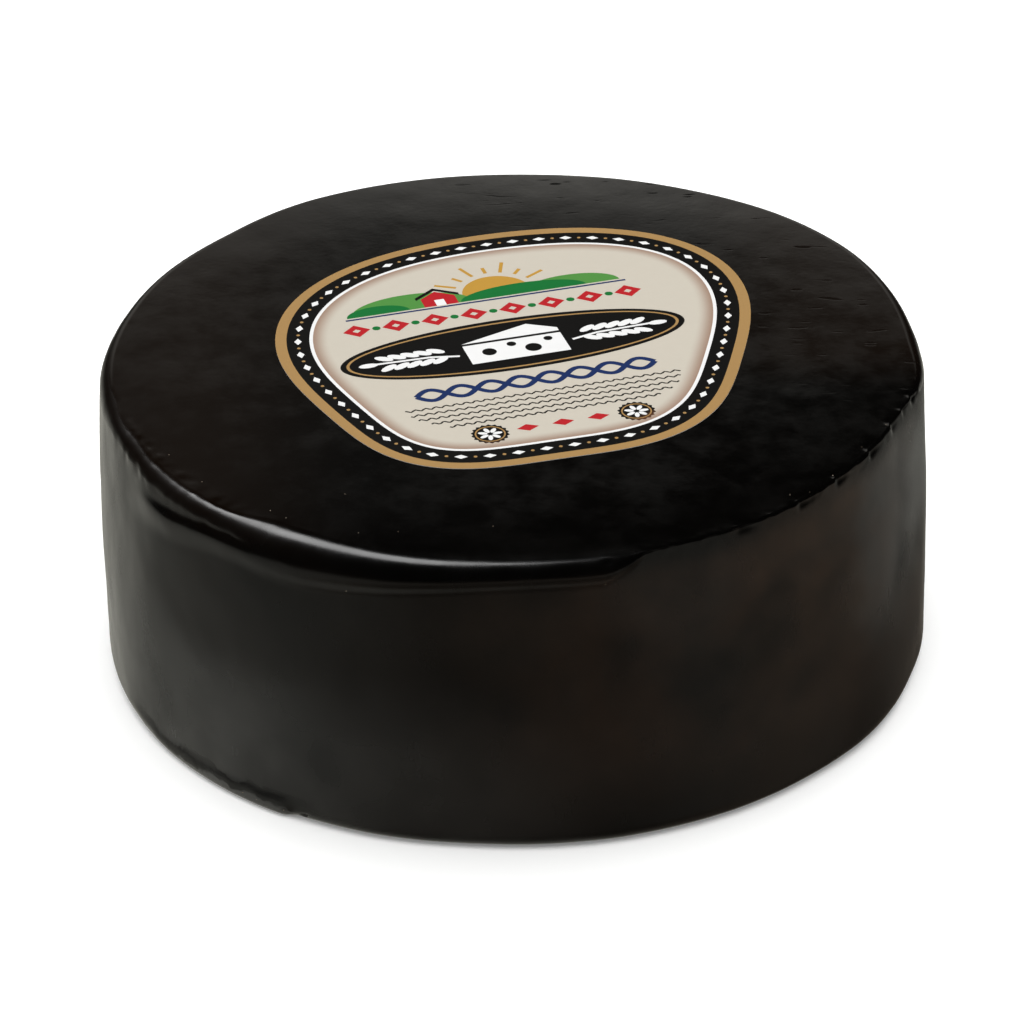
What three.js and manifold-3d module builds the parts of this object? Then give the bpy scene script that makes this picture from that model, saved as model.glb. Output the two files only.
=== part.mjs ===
// A whole wheel of parmesan cheese in a coat of black wax, with a paper label on its top face.
// Millimetres, +Z up. The origin is the middle of the face that the wheel stands on, and the
// printed label reads from -Y. Azimuths are degrees from +X, turning towards +Y: -90 is the front.

import * as THREE from "three";
import { mergeVertices } from "three/addons/utils/BufferGeometryUtils.js";
import Module from "manifold-3d";

// Driving sizes of the wheel
const HEIGHT = 125;
const TOP_RADIUS = 160;
const BASE_RADIUS = 163.7;
const SIDE_TAPER_POWER = 2.2; // the side leans in mostly near the top
const FOOT_ROUND_IN = 6.1; // the foot's rounding, measured inwards and upwards
const FOOT_ROUND_UP = 7.4;
const LEVEL_RADIUS = 118; // inside this the top face is flat, so that the label lies on it
const EDGE_DROP = 0.6; // how far the top face falls from there to its edge

// How finely the wheel is divided
const MERIDIANS = 160;
const PINCH_GATHERING = 1.2; // how much closer together the meridians stand at the pinched rim
const DENSITY_STEPS = 3600;
const FOOT_STEPS = 5;
const LOWER_SIDE_RINGS = 6;
const UPPER_SIDE_BOTTOM = 92;
const UPPER_SIDE_RINGS = 11;
const RIM_STEPS = 8;
const RING_GATHERING = 1.5; // the side's rings stand closer together near the foot
const TOP_RING_SHARES = [0.3, 0.62, 1]; // of the way from the rounding to the level part

// The outline seen from above swells and shrinks a little, by a few waves round the wheel
const TOP_WAVES = [
  { lobes: 2, swell: 0.25, facing: 0 },
  { lobes: 3, swell: 0.55, facing: -55 },
  { lobes: 4, swell: 0.9, facing: 35 },
];
const BASE_WAVES = [
  { lobes: 2, swell: 0.4, facing: 0 },
  { lobes: 4, swell: 0.3, facing: 36 },
];

// The rim's rounding, a quarter ellipse. At the front left, where the wax set thick, it is wide, and
// it reaches down to the crest, where the side stands out furthest
const RIM_IN = 5.5;
const RIM_DOWN = 8.3;
const WIDE_RIM = { from: -172, to: -72, fadeIn: 12, fadeOut: 5 };
const WIDE_SIZE = 14; // downwards, at the left
const NARROW_SIZE = 6; // downwards, at the front
const NARROWS = { from: -140, to: -85 };
const RIM_SLANT = 0.91; // its inward size for each millimetre downwards
const DIP = { at: -159, width: 8, drop: 5.5 }; // the crest has one dip and one kink
const KINK = { at: -132, width: 9, lift: 3.4 };

// At the left the rounding is smaller. From there the wax stands upright down to the crest, and
// over the crest it is set back a little
const UPRIGHT = { from: -174, to: -122, fadeIn: 12, fadeOut: 9 };
const UPRIGHT_SIZE = 6;
const SETBACK = { from: -151, to: -121, fadeIn: 9, fadeOut: 9 };
const SETBACK_HEIGHT = 4;
const SETBACK_DEPTH = 1.5;

// Where the side stands out of its plain shape, or falls short of it. Each of these grows from
// nothing at one height to its full size at the other
const SWELLINGS = [
  {
    zone: { from: -156, to: -45, fadeIn: 16, fadeOut: 35 },
    size: 2.4,
    nose: { at: -111, width: 17, size: 1.5 },
    none: 35,
    full: 100,
  },
  {
    zone: { from: -25, to: 140, fadeIn: 25, fadeOut: 20 },
    size: 2.5,
    nose: { at: 47, width: 20, size: 1.8 },
    none: 15,
    full: 80,
  },
  { zone: { from: -9, to: 34, fadeIn: 11, fadeOut: 14 }, size: -1.2, none: 35, full: 100 },
  { zone: { from: 100, to: 150, fadeIn: 20, fadeOut: 20 }, size: 0.9, none: 35, full: 100 },
  { zone: { from: -48, to: 0, fadeIn: 18, fadeOut: 14 }, size: 1.2, none: 75, full: 10 },
];

// The front left bulges once more, over a short height right under the crest
const TUCKED = {
  zone: { from: -156, to: -72, fadeIn: 16, fadeOut: 6 },
  size: 1.9,
  nose: { at: -111, width: 17, size: 1.3 },
};
const TUCK_LENGTH = 0.9; // in heights of the rim above the crest

// The rim's droop at the front
const DROOP = { from: -128, to: -71, fadeIn: 20, fadeOut: 5 };
const DROOP_DROP = 0.6;
const DROOP_BOTTOM = 95;

// The right part of the front: the rim is pinched sharp and torn, and the side is pressed in
const PINCH = { from: -79, to: 2, fadeIn: 7, fadeOut: 22 };
const PINCH_IN = 1.2;
const PINCH_DOWN = 1.2;
const PRESS = { from: -80, to: -10, fadeIn: 14, fadeOut: 14 };
const PRESS_DEPTH = 2.2;
const TEAR_REACH = 4; // how far from the rim's corner a tear still shows
const TEAR_CORE = 0.3; // of that reach, where it has its full depth
const TEAR_DROP = 0.35; // how far a tear sinks the rim, for each millimetre that it bites in
// A tear breaks off sharply on one side, by its width, and runs out over its tail on the other
const TEARS = [
  { at: -14.8, width: 0.5, tail: 1.9, bite: 0.6 },
  { at: -19, width: 0.4, tail: 1.4, bite: 0.4 },
  { at: -23.5, width: 0.5, tail: 2.2, bite: 0.7 },
  { at: -31.5, width: 0.5, tail: 3, bite: 0.9 },
  { at: -40.5, width: 0.5, tail: 3, bite: 0.7 },
  { at: -48.5, width: 0.5, tail: 3, bite: 0.6 },
  { at: -59, width: 0.5, tail: 2.4, bite: 0.4 },
  { at: -78, width: 0.7, tail: 0.7, bite: 0.7 },
];

// The foot's lips, where the wax ran down and set: there the rounding is small and stands out
const LIPS = [
  { from: -160, to: -121, fadeIn: 18, fadeOut: 2.5, strength: 1 },
  { from: 18, to: 78, fadeIn: 14, fadeOut: 10, strength: 0.8 },
];
const LIP_ROUND_IN = 3.6;
const LIP_ROUND_UP = 5;
const LIP_SWELL = 0.8;
const LIP_SLOPE = { from: 6, to: 9.5 }; // the heights between which a lip fades into the side

// The chip broken out of the bottom edge, just past the end of the lip
const CHIP = { azimuth: -119.8, width: 9, depth: 3.2, height: 4.4, tilt: -14 };

// Slow lumps all over the wax: sine waves round the wheel, each twisted over the wheel's height. Twist
// and start are in radians
const LUMPS = [
  { turns: 5, twist: 5.4, start: 0.6, size: 0.16 },
  { turns: 5, twist: 0.8, start: -0.6, size: 0.16 },
  { turns: 9, twist: -4.2, start: 1.3, size: 0.224 },
  { turns: 14, twist: 6.5, start: 2.1, size: 0.16 },
];

// The label: a rounded shield whose outline is a circle changed by four low waves
const LABEL_MEAN_RADIUS = 94.7;
const LABEL_EGG = 0.287;
const LABEL_OVAL = -0.038;
const LABEL_THREE_CORNER = 0.012;
const LABEL_FOUR_CORNER = -0.047;
const LABEL_LEAN = 0.098; // it was laid on with a slight slant
const LABEL_TURN = 14.4; // degrees
const LABEL_CENTRE = { x: 8.1, y: -19.1 };
const LABEL_THICKNESS = 0.3;
const LABEL_SIDES = 120;

const radians = THREE.MathUtils.degToRad;
const mix = THREE.MathUtils.lerp;

// 0 at and beyond the first value, 1 at and beyond the second, and a smooth step between them
function rise(value, none, full) {
  const share = THREE.MathUtils.clamp((value - none) / (full - none), 0, 1);
  return share * share * (3 - 2 * share);
}

// A bell of height 1 round zero
function bell(distance, width) {
  return Math.exp(-((distance / width) ** 2));
}

// The turn from one azimuth to another, between -180 and 180
function turn(from, to) {
  return THREE.MathUtils.euclideanModulo(to - from + 180, 360) - 180;
}

// How strongly a zone round the wheel counts at an azimuth, from 0 outside it to 1 well inside
function zone(azimuth, { from, to, fadeIn, fadeOut }) {
  const length = THREE.MathUtils.euclideanModulo(to - from, 360);
  const along = THREE.MathUtils.euclideanModulo(azimuth - from, 360);
  if (along > length) return 0;
  return rise(along, 0, fadeIn) * (1 - rise(along, length - fadeOut, length));
}

function strongest(azimuth, zones) {
  return Math.max(...zones.map((one) => one.strength * zone(azimuth, one)));
}

function waves(azimuth, list) {
  return list.reduce(
    (sum, { lobes, swell, facing }) =>
      sum + swell * Math.cos(lobes * radians(azimuth - facing)),
    0,
  );
}

function sideRadius(height) {
  const share = THREE.MathUtils.clamp(height / HEIGHT, 0, 1);
  return BASE_RADIUS + (TOP_RADIUS - BASE_RADIUS) * share ** SIDE_TAPER_POWER;
}

// The rim's size at the front left, downwards
function rimSize(azimuth) {
  return mix(WIDE_SIZE, NARROW_SIZE, rise(azimuth, NARROWS.from, NARROWS.to));
}

// The height at which the side stands out furthest: close to the top where the rim is pinched
function crest(azimuth) {
  const dip = DIP.drop * bell(turn(DIP.at, azimuth), DIP.width);
  const kink = KINK.lift * bell(turn(KINK.at, azimuth), KINK.width);
  const drop = mix(RIM_DOWN, rimSize(azimuth), zone(azimuth, WIDE_RIM)) + dip - kink;
  return HEIGHT - mix(drop, PINCH_DOWN, zone(azimuth, PINCH));
}

// How far the rim's rounding reaches inwards and downwards at an azimuth
function rounding(azimuth) {
  const upright = zone(azimuth, UPRIGHT);
  const plain = mix(RIM_IN, rimSize(azimuth) * RIM_SLANT, zone(azimuth, WIDE_RIM));
  const pinched = mix(plain, PINCH_IN, zone(azimuth, PINCH));
  return {
    inwards: mix(pinched, UPRIGHT_SIZE, upright),
    down: mix(HEIGHT - crest(azimuth), UPRIGHT_SIZE, upright),
  };
}

// How far the foot's rounding reaches inwards and upwards at an azimuth
function footRounding(azimuth) {
  const lip = strongest(azimuth, LIPS);
  return { inwards: mix(FOOT_ROUND_IN, LIP_ROUND_IN, lip), up: mix(FOOT_ROUND_UP, LIP_ROUND_UP, lip) };
}

// The rings of the wheel, from the middle of its base to the middle of its top. Each one belongs
// to a part of the profile and lies at a share of it
function ringList() {
  const rings = [{ part: "base middle", share: 0 }];
  const add = (part, first, last, gathering = 1) => {
    for (let i = first; i <= last; i++) rings.push({ part, share: (i / last) ** gathering });
  };
  add("foot", 0, FOOT_STEPS);
  add("lower side", 1, LOWER_SIDE_RINGS, RING_GATHERING);
  add("upper side", 1, UPPER_SIDE_RINGS);
  add("rim", 1, RIM_STEPS);
  rings.push(...TOP_RING_SHARES.map((share) => ({ part: "top", share })));
  rings.push({ part: "top middle", share: 1 });
  return rings;
}

// Where a ring of the plain profile lies at an azimuth
function plainPoint({ part, share }, azimuth) {
  const { inwards, down } = rounding(azimuth);
  const foot = footRounding(azimuth);
  const rimStart = HEIGHT - down;
  const edge = TOP_RADIUS - inwards;
  const onSide = (height) => ({ radius: sideRadius(height), height });
  if (part === "foot") {
    const angle = radians(-90 + 90 * share);
    const point = onSide(foot.up * (1 + Math.sin(angle)));
    return { ...point, radius: point.radius - foot.inwards * (1 - Math.cos(angle)) };
  }
  if (part === "lower side") return onSide(mix(foot.up, UPPER_SIDE_BOTTOM, share));
  if (part === "upper side") return onSide(mix(UPPER_SIDE_BOTTOM, rimStart, share));
  if (part === "rim") {
    const angle = radians(90 * share);
    const lean = (sideRadius(rimStart) - TOP_RADIUS) * Math.cos(angle) ** 2;
    return {
      radius: TOP_RADIUS - inwards * (1 - Math.cos(angle)) + lean,
      height: rimStart + down * Math.sin(angle),
    };
  }
  if (part === "top") {
    return { radius: mix(edge, LEVEL_RADIUS, share), height: HEIGHT };
  }
  return { radius: 0, height: part === "top middle" ? HEIGHT : 0 };
}

// How far a bulge stands out at an azimuth, with its nose if it has one
function bulge({ zone: where, size, nose }, azimuth) {
  const extra = nose ? nose.size * bell(turn(nose.at, azimuth), nose.width) : 0;
  return zone(azimuth, where) * (size + extra);
}

// How far the swellings stand out of the plain side, less the set-back over the crest
function swell(height, azimuth) {
  const top = crest(azimuth);
  const tuckStart = top - TUCK_LENGTH * (HEIGHT - top);
  const slow = SWELLINGS.map((one) => bulge(one, azimuth) * rise(height, one.none, one.full));
  const tucked = bulge(TUCKED, azimuth) * rise(height, tuckStart, top);
  const setback = SETBACK_DEPTH * zone(azimuth, SETBACK) * rise(height, top, top + SETBACK_HEIGHT);
  return slow.reduce((sum, one) => sum + one, tucked - setback);
}

// How far the lips stand out at the foot
function footRelief(height, azimuth) {
  return strongest(azimuth, LIPS) * LIP_SWELL * rise(height, LIP_SLOPE.to, LIP_SLOPE.from);
}

// The slow lumps cross each other, so that no two places are alike
function lumps(azimuth, height) {
  const around = radians(azimuth);
  const share = height / HEIGHT;
  return LUMPS.reduce(
    (sum, { turns, twist, start, size }) =>
      sum + size * Math.sin(turns * around + twist * share + start),
    0,
  );
}

// How deep the tears bite at a point, fading with its distance from the rim's corner
function tearDepth(radius, height, azimuth) {
  const distance = Math.max(TOP_RADIUS - radius, HEIGHT - height);
  const near = 1 - rise(distance, TEAR_CORE * TEAR_REACH, TEAR_REACH);
  return TEARS.reduce((sum, { at, width, tail, bite }) => {
    const past = turn(at, azimuth);
    return sum + near * bite * bell(past, past < 0 ? width : tail);
  }, 0);
}

// Where a ring really lies at an azimuth
function waxedPoint(ring, azimuth) {
  const plain = plainPoint(ring, azimuth);
  const outer = rise(plain.radius, LEVEL_RADIUS, TOP_RADIUS - RIM_IN);
  const share = plain.height / HEIGHT;
  const tear = tearDepth(plain.radius, plain.height, azimuth);
  const outwards =
    share * waves(azimuth, TOP_WAVES) +
    (1 - share) * waves(azimuth, BASE_WAVES) +
    swell(plain.height, azimuth) -
    PRESS_DEPTH * zone(azimuth, PRESS) * share ** 2 +
    footRelief(plain.height, azimuth) +
    lumps(azimuth, plain.height) -
    tear;
  const pastLevel = (plain.radius - LEVEL_RADIUS) / (TOP_RADIUS - LEVEL_RADIUS);
  const fall = (EDGE_DROP + DROOP_DROP * zone(azimuth, DROOP)) * THREE.MathUtils.clamp(pastLevel, 0, 1) ** 2;
  return {
    radius: plain.radius + outwards * outer,
    height: plain.height - fall * rise(plain.height, DROOP_BOTTOM, HEIGHT) - TEAR_DROP * tear,
  };
}

// The meridians' azimuths, shared out by a density that is highest where the rim is pinched
function meridianAzimuths() {
  const azimuthOf = (step) => -180 + (360 * step) / DENSITY_STEPS;
  const sums = [0];
  for (let i = 0; i < DENSITY_STEPS; i++) {
    sums.push(sums[i] + 1 + PINCH_GATHERING * zone(azimuthOf(i + 0.5), PINCH));
  }
  const azimuths = [];
  let step = 0;
  for (let i = 0; i < MERIDIANS; i++) {
    const wanted = (sums[DENSITY_STEPS] * i) / MERIDIANS;
    while (sums[step + 1] < wanted) step++;
    azimuths.push(azimuthOf(step + (wanted - sums[step]) / (sums[step + 1] - sums[step])));
  }
  return azimuths;
}

function waxedWheel() {
  const rings = ringList();
  const azimuths = meridianAzimuths();
  const nominal = rings.map((ring) => {
    const { radius, height } = plainPoint(ring, 0);
    return new THREE.Vector2(radius, height);
  });
  const geometry = new THREE.LatheGeometry(nominal, MERIDIANS);
  geometry.rotateX(Math.PI / 2); // the lathe turns about +Y
  const position = geometry.getAttribute("position");
  for (let i = 0; i < position.count; i++) {
    const azimuth = azimuths[Math.floor(i / rings.length) % MERIDIANS];
    const around = radians(azimuth);
    const { radius, height } = waxedPoint(rings[i % rings.length], azimuth);
    position.setXYZ(i, radius * Math.cos(around), radius * Math.sin(around), height);
  }
  return geometry;
}

// A wedge laid across the bottom edge, which breaks the chip out
function chipWedge() {
  const geometry = new THREE.BoxGeometry(CHIP.width, CHIP.width, CHIP.height * 2);
  geometry.rotateZ(Math.PI / 4);
  geometry.rotateY(radians(CHIP.tilt));
  const reach = BASE_RADIUS - CHIP.depth + CHIP.width * Math.SQRT1_2;
  geometry.translate(reach, 0, 0);
  geometry.rotateZ(radians(CHIP.azimuth));
  return geometry;
}

const wasm = await Module();
wasm.setup();

function solidOf(geometry) {
  const bare = geometry.clone();
  bare.deleteAttribute("normal");
  bare.deleteAttribute("uv");
  const merged = mergeVertices(bare, 1e-4);
  return new wasm.Manifold(
    new wasm.Mesh({
      numProp: 3,
      vertProperties: merged.getAttribute("position").array,
      triVerts: new Uint32Array(merged.index.array),
    }),
  );
}

function geometryOf(solid) {
  const { vertProperties, triVerts } = solid.getMesh();
  const geometry = new THREE.BufferGeometry();
  geometry.setAttribute("position", new THREE.BufferAttribute(vertProperties, 3));
  geometry.setIndex(new THREE.BufferAttribute(triVerts, 1));
  geometry.computeVertexNormals();
  return geometry;
}

// The label's outline, turned and laid in its place on the top face
function labelOutline() {
  const points = [];
  for (let i = 0; i < LABEL_SIDES; i++) {
    const angle = (2 * Math.PI * i) / LABEL_SIDES;
    const radius =
      LABEL_MEAN_RADIUS *
      (1 +
        LABEL_EGG * Math.sin(angle) +
        LABEL_OVAL * Math.cos(2 * angle) +
        LABEL_THREE_CORNER * Math.sin(3 * angle) +
        LABEL_FOUR_CORNER * Math.cos(4 * angle));
    const point = new THREE.Vector2(radius * Math.cos(angle), radius * Math.sin(angle));
    point.x += LABEL_LEAN * point.y;
    points.push(point.rotateAround(new THREE.Vector2(), radians(LABEL_TURN)));
  }
  return new THREE.Shape(points);
}

const cheese = new THREE.Group();

const wheel = new THREE.Mesh(
  geometryOf(solidOf(waxedWheel()).subtract(solidOf(chipWedge()))),
  new THREE.MeshStandardMaterial({ color: 0x12100e, roughness: 0.38, metalness: 0 }),
);
wheel.name = "wheel";
cheese.add(wheel);

const label = new THREE.Mesh(
  new THREE.ExtrudeGeometry(labelOutline(), { depth: LABEL_THICKNESS, bevelEnabled: false }),
  new THREE.MeshStandardMaterial({ color: 0xd9d1c0, roughness: 0.5, metalness: 0 }),
);
label.name = "label";
label.position.set(LABEL_CENTRE.x, LABEL_CENTRE.y, HEIGHT);
cheese.add(label);

export default cheese;
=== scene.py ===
"""The looks of a whole wheel of parmesan cheese: black wax over the cheese, and a printed paper label.

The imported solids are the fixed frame. The wax and the label are worked out again here, much finer, from
the same sizes, and each new piece replaces its solid. Shapes are in millimetres until a mesh is made of
them, and the scene is in metres. Azimuths are degrees from +X, turning towards +Y: -90 is the front.
"""

import logging
import math
from collections.abc import Sequence
from dataclasses import dataclass
from enum import Enum

import bpy
import numpy as np
from mathutils import Matrix, Vector
from mathutils.bvhtree import BVHTree
from mathutils.geometry import delaunay_2d_cdt


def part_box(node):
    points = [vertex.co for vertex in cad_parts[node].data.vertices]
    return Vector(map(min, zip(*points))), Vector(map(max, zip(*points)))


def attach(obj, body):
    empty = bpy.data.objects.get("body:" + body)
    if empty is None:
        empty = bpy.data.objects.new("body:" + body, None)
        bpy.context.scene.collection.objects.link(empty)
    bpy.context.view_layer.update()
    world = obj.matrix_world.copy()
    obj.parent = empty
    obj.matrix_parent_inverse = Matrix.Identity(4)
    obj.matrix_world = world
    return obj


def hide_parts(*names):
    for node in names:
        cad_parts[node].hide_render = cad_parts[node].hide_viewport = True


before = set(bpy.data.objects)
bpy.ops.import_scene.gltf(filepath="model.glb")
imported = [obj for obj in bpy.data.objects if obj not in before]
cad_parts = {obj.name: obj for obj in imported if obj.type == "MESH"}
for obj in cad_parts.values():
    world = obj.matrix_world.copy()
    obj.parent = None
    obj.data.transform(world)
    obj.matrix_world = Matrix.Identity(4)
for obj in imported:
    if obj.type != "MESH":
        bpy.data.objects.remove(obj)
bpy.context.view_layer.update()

Array = np.ndarray
Colour = tuple[float, float, float]
Place = tuple[float, float, float]
Span = tuple[float, float]

LOG = logging.getLogger("cheese")
MM = 0.001
BODY = "root"
# A distance in metres that is well clear of the wheel.
CLEAR = 0.3

# The noise mixes the bits of a place with these: any large odd numbers would do.
LATTICE_PRIMES = np.array([73856093, 19349663, 83492791], np.uint32)
SEED_PRIME = 7919
MIXING = ((15, 0x2C1B3C6D), (12, 0x297A2D39))


def rise(value: Array | float, low: float, high: float) -> Array:
    """Steps smoothly from 0 to 1: 3t^2 - 2t^3, where t is the share of the way from low to high.

    Args:
        value: Where the step is read.
        low: The value at and below which the step is 0.
        high: The value at and above which the step is 1.

    Returns:
        The step, in the shape of value.
    """
    share = np.clip((value - low) / (high - low), 0.0, 1.0)
    return share * share * (3.0 - 2.0 * share)


def bell(distance: Array | float, width: Array | float) -> Array:
    """A bell of height 1 round zero: e to the power of minus the square of distance over width."""
    return np.exp(-((distance / width) ** 2))


def turn(start: Array | float, end: Array | float) -> Array:
    """The turn in degrees from one azimuth to another, between -180 and 180."""
    return (end - start + 180.0) % 360.0 - 180.0


def on_ring(radius: Array | float, azimuth: Array, height: Array | float) -> Array:
    """The places at a radius, an azimuth and a height, with x, y and z on the last axis."""
    around = np.radians(azimuth)
    return np.stack(np.broadcast_arrays(radius * np.cos(around), radius * np.sin(around), height), axis=-1)


def srgb(red: int, green: int, blue: int) -> Colour:
    """Gives the linear colour of a screen colour, by the usual screen curve.

    Args:
        red: Its red, from 0 to 255.
        green: Its green.
        blue: Its blue.

    Returns:
        The linear colour.
    """
    shares = np.array([red, green, blue]) / 255.0
    linear = np.where(shares <= 0.04045, shares / 12.92, ((shares + 0.055) / 1.055) ** 2.4)
    return tuple(linear.tolist())


def corner_value(corner: Array, seed: int) -> Array:
    """Gives each lattice corner its own fixed value between -1 and 1, by mixing the bits of its place.

    Args:
        corner: Whole-number places, with three numbers on the last axis.
        seed: A number that picks another set of values.

    Returns:
        One value for each place.
    """
    mixed = (corner.astype(np.uint32) * LATTICE_PRIMES).sum(axis=-1, dtype=np.uint32)
    mixed = mixed + np.uint32(seed * SEED_PRIME)
    for shift, factor in MIXING:
        mixed = (mixed ^ (mixed >> np.uint32(shift))) * np.uint32(factor)
    return mixed / 2.0**31 - 1.0


def soft_noise(points: Array, pitch: float, seed: int) -> Array:
    """Smooth noise between -1 and 1: the values of a cubic lattice's corners, blended by smooth steps.

    Args:
        points: Places in millimetres, with x, y and z on the last axis.
        pitch: The size of a lattice cell in millimetres.
        seed: A number that picks another pattern.

    Returns:
        One value for each place.
    """
    cell = points / pitch
    corner = np.floor(cell)
    share = rise(cell - corner, 0.0, 1.0)
    total = np.zeros(points.shape[:-1])
    for step in np.ndindex(2, 2, 2):
        weight = np.where(np.array(step) == 1, share, 1.0 - share).prod(axis=-1)
        total += weight * corner_value((corner + step).astype(np.int64), seed)
    return total


def closed_faces(rings: int, around: int) -> list[list[int]]:
    """Joins a grid of vertices into quads, closed by a fan of triangles at each pole.

    Args:
        rings: How many rings the grid has, from the bottom to the top.
        around: How many vertices a ring has.

    Returns:
        The faces. The two vertices after the grid's are the poles of the bottom and the top.
    """
    index = np.arange(rings * around).reshape(rings, around)
    onward = np.roll(index, -1, axis=1)
    quads = np.stack([index[:-1], onward[:-1], onward[1:], index[1:]], axis=-1).reshape(-1, 4)
    bottom, top = np.full(around, rings * around), np.full(around, rings * around + 1)
    bottom_fan = np.stack([bottom, onward[0], index[0]], axis=-1)
    top_fan = np.stack([top, index[-1], onward[-1]], axis=-1)
    return [*quads.tolist(), *bottom_fan.tolist(), *top_fan.tolist()]


def add_piece(name: str, vertices: Array, faces: Sequence[Sequence[int]], smooth: bool) -> bpy.types.Object:
    """Makes an object at the origin out of vertices in millimetres.

    Args:
        name: The piece's name.
        vertices: One row of x, y and z for each vertex.
        faces: The vertices of each face, turning anticlockwise as seen from outside.
        smooth: Whether the faces are shaded as one smooth surface.

    Returns:
        The new object.
    """
    mesh = bpy.data.meshes.new(name)
    mesh.from_pydata((vertices * MM).tolist(), [], faces)
    mesh.polygons.foreach_set("use_smooth", np.full(len(mesh.polygons), smooth))
    mesh.update()
    piece = bpy.data.objects.new(name, mesh)
    bpy.context.scene.collection.objects.link(piece)
    return piece


class Wire:
    """A socket of a node tree, on which sums are written as Python expressions."""

    def __init__(self, bench: "Bench", socket: bpy.types.NodeSocket) -> None:
        """Keeps the socket and the bench that its tree is on."""
        self.bench = bench
        self.socket = socket

    def __add__(self, other: "Wire | float") -> "Wire":
        """The sum."""
        return self.bench.maths("ADD", self, other)

    __radd__ = __add__

    def __sub__(self, other: "Wire | float") -> "Wire":
        """This less the other."""
        return self.bench.maths("SUBTRACT", self, other)

    def __rsub__(self, other: float) -> "Wire":
        """The other less this."""
        return self.bench.maths("SUBTRACT", other, self)

    def __mul__(self, other: "Wire | float") -> "Wire":
        """The product."""
        return self.bench.maths("MULTIPLY", self, other)

    __rmul__ = __mul__

    def rise(self, low: float, high: float) -> "Wire":
        """A smooth step from 0 at low to 1 at high."""
        inputs = {"Value": self, "From Min": low, "From Max": high}
        return self.bench.wire("ShaderNodeMapRange", "Result", {"interpolation_type": "SMOOTHSTEP"}, inputs)


class Bench:
    """Builds one node tree."""

    def __init__(self, tree: bpy.types.NodeTree) -> None:
        """Empties the tree."""
        self.tree = tree
        tree.nodes.clear()

    def node(self, kind: str, settings: dict | None = None, inputs: dict | None = None) -> bpy.types.Node:
        """Adds a node, changes its settings, and then fills its sockets.

        Args:
            kind: The node's type.
            settings: The node's own settings by name.
            inputs: What goes into its sockets, by name or number: a wire, a number or a colour.

        Returns:
            The new node.
        """
        node = self.tree.nodes.new(kind)
        for name, value in (settings or {}).items():
            setattr(node, name, value)
        for name, value in (inputs or {}).items():
            if isinstance(value, Wire):
                self.tree.links.new(value.socket, node.inputs[name])
            else:
                node.inputs[name].default_value = value
        return node

    def wire(
        self, kind: str, output: str | int = 0, settings: dict | None = None, inputs: dict | None = None
    ) -> Wire:
        """Adds a node and gives one of its outputs."""
        return Wire(self, self.node(kind, settings, inputs).outputs[output])

    def maths(self, operation: str, first: Wire | float, second: Wire | float) -> Wire:
        """Adds a Math node."""
        return self.wire("ShaderNodeMath", 0, {"operation": operation}, {0: first, 1: second})

    def vectors(self, operation: str, output: str, first: Wire, second: Place) -> Wire:
        """Adds a Vector Math node."""
        return self.wire("ShaderNodeVectorMath", output, {"operation": operation}, {0: first, 1: second})

    def blend(
        self, share: Wire | float, first: Wire | Colour, second: Wire | Colour, how: str = "MIX"
    ) -> Wire:
        """Mixes two colours.

        Args:
            share: The share of the second colour.
            first: The first colour.
            second: The second colour.
            how: One of the Mix node's ways of blending.

        Returns:
            The mixed colour.
        """
        # The Mix node takes colours at its sockets 6 and 7, and gives one at its output 2.
        colours = [value if isinstance(value, Wire) else (*value, 1.0) for value in (first, second)]
        inputs = {0: share, 6: colours[0], 7: colours[1]}
        return self.wire("ShaderNodeMix", 2, {"data_type": "RGBA", "blend_type": how}, inputs)

    def noise(self, place: Wire, size: float, detail: float = 2.0, roughness: float = 0.5) -> Wire:
        """Noise between 0 and 1, whose lumps are about size metres across."""
        inputs = {"Vector": place, "Scale": 1.0 / size, "Detail": detail, "Roughness": roughness}
        return self.wire("ShaderNodeTexNoise", "Fac", {}, inputs)

    def stretched(self, place: Wire, scale: Place) -> Wire:
        """The place with each axis multiplied by its own number."""
        return self.vectors("MULTIPLY", "Vector", place, scale)

    def axes(self, way: Wire) -> tuple[Wire, ...]:
        """The x, y and z of a vector."""
        parts = self.node("ShaderNodeSeparateXYZ", {}, {0: way})
        return tuple(Wire(self, output) for output in parts.outputs)

    def bump(self, strength: float, depth: float, height: Wire) -> Wire:
        """A normal that follows a height, of which 1 stands for depth metres."""
        inputs = {"Strength": strength, "Distance": depth, "Height": height}
        return self.wire("ShaderNodeBump", "Normal", {}, inputs)

    def coat(self, colour: Wire, roughness: Wire | float, specular: float, normal: Wire) -> Wire:
        """Adds a shader.

        Args:
            colour: Its base colour.
            roughness: Its roughness.
            specular: How much it mirrors.
            normal: Its normal.

        Returns:
            The shader.
        """
        inputs = {"Base Color": colour, "Roughness": roughness, "Normal": normal}
        inputs["Specular IOR Level"] = specular
        return self.wire("ShaderNodeBsdfPrincipled", 0, {}, inputs)

    def mix_shaders(self, share: Wire, first: Wire, second: Wire) -> Wire:
        """Mixes two shaders, by the share of the second."""
        return self.wire("ShaderNodeMixShader", 0, {}, {0: share, 1: first, 2: second})

    def finish(self, surface: Wire, owner: str = "Material") -> None:
        """Sends the finished shader to the output of the tree's owner: a material or the world."""
        self.node(f"ShaderNodeOutput{owner}", {}, {"Surface": surface})


def new_material(name: str) -> tuple[bpy.types.Material, Bench]:
    """Makes a material with an empty tree.

    Args:
        name: Its name.

    Returns:
        The material, and the bench for its tree.
    """
    material = bpy.data.materials.new(name)
    material.use_nodes = True
    return material, Bench(material.node_tree)


@dataclass(frozen=True)
class Spot:
    """What a shader knows of a spot on the wax: its place in metres, two masks and two cloudy noises."""

    place: Wire
    across: Wire
    along: Wire
    up: Wire
    on_side: Wire
    on_flat: Wire
    clouds: Wire
    patches: Wire


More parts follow.
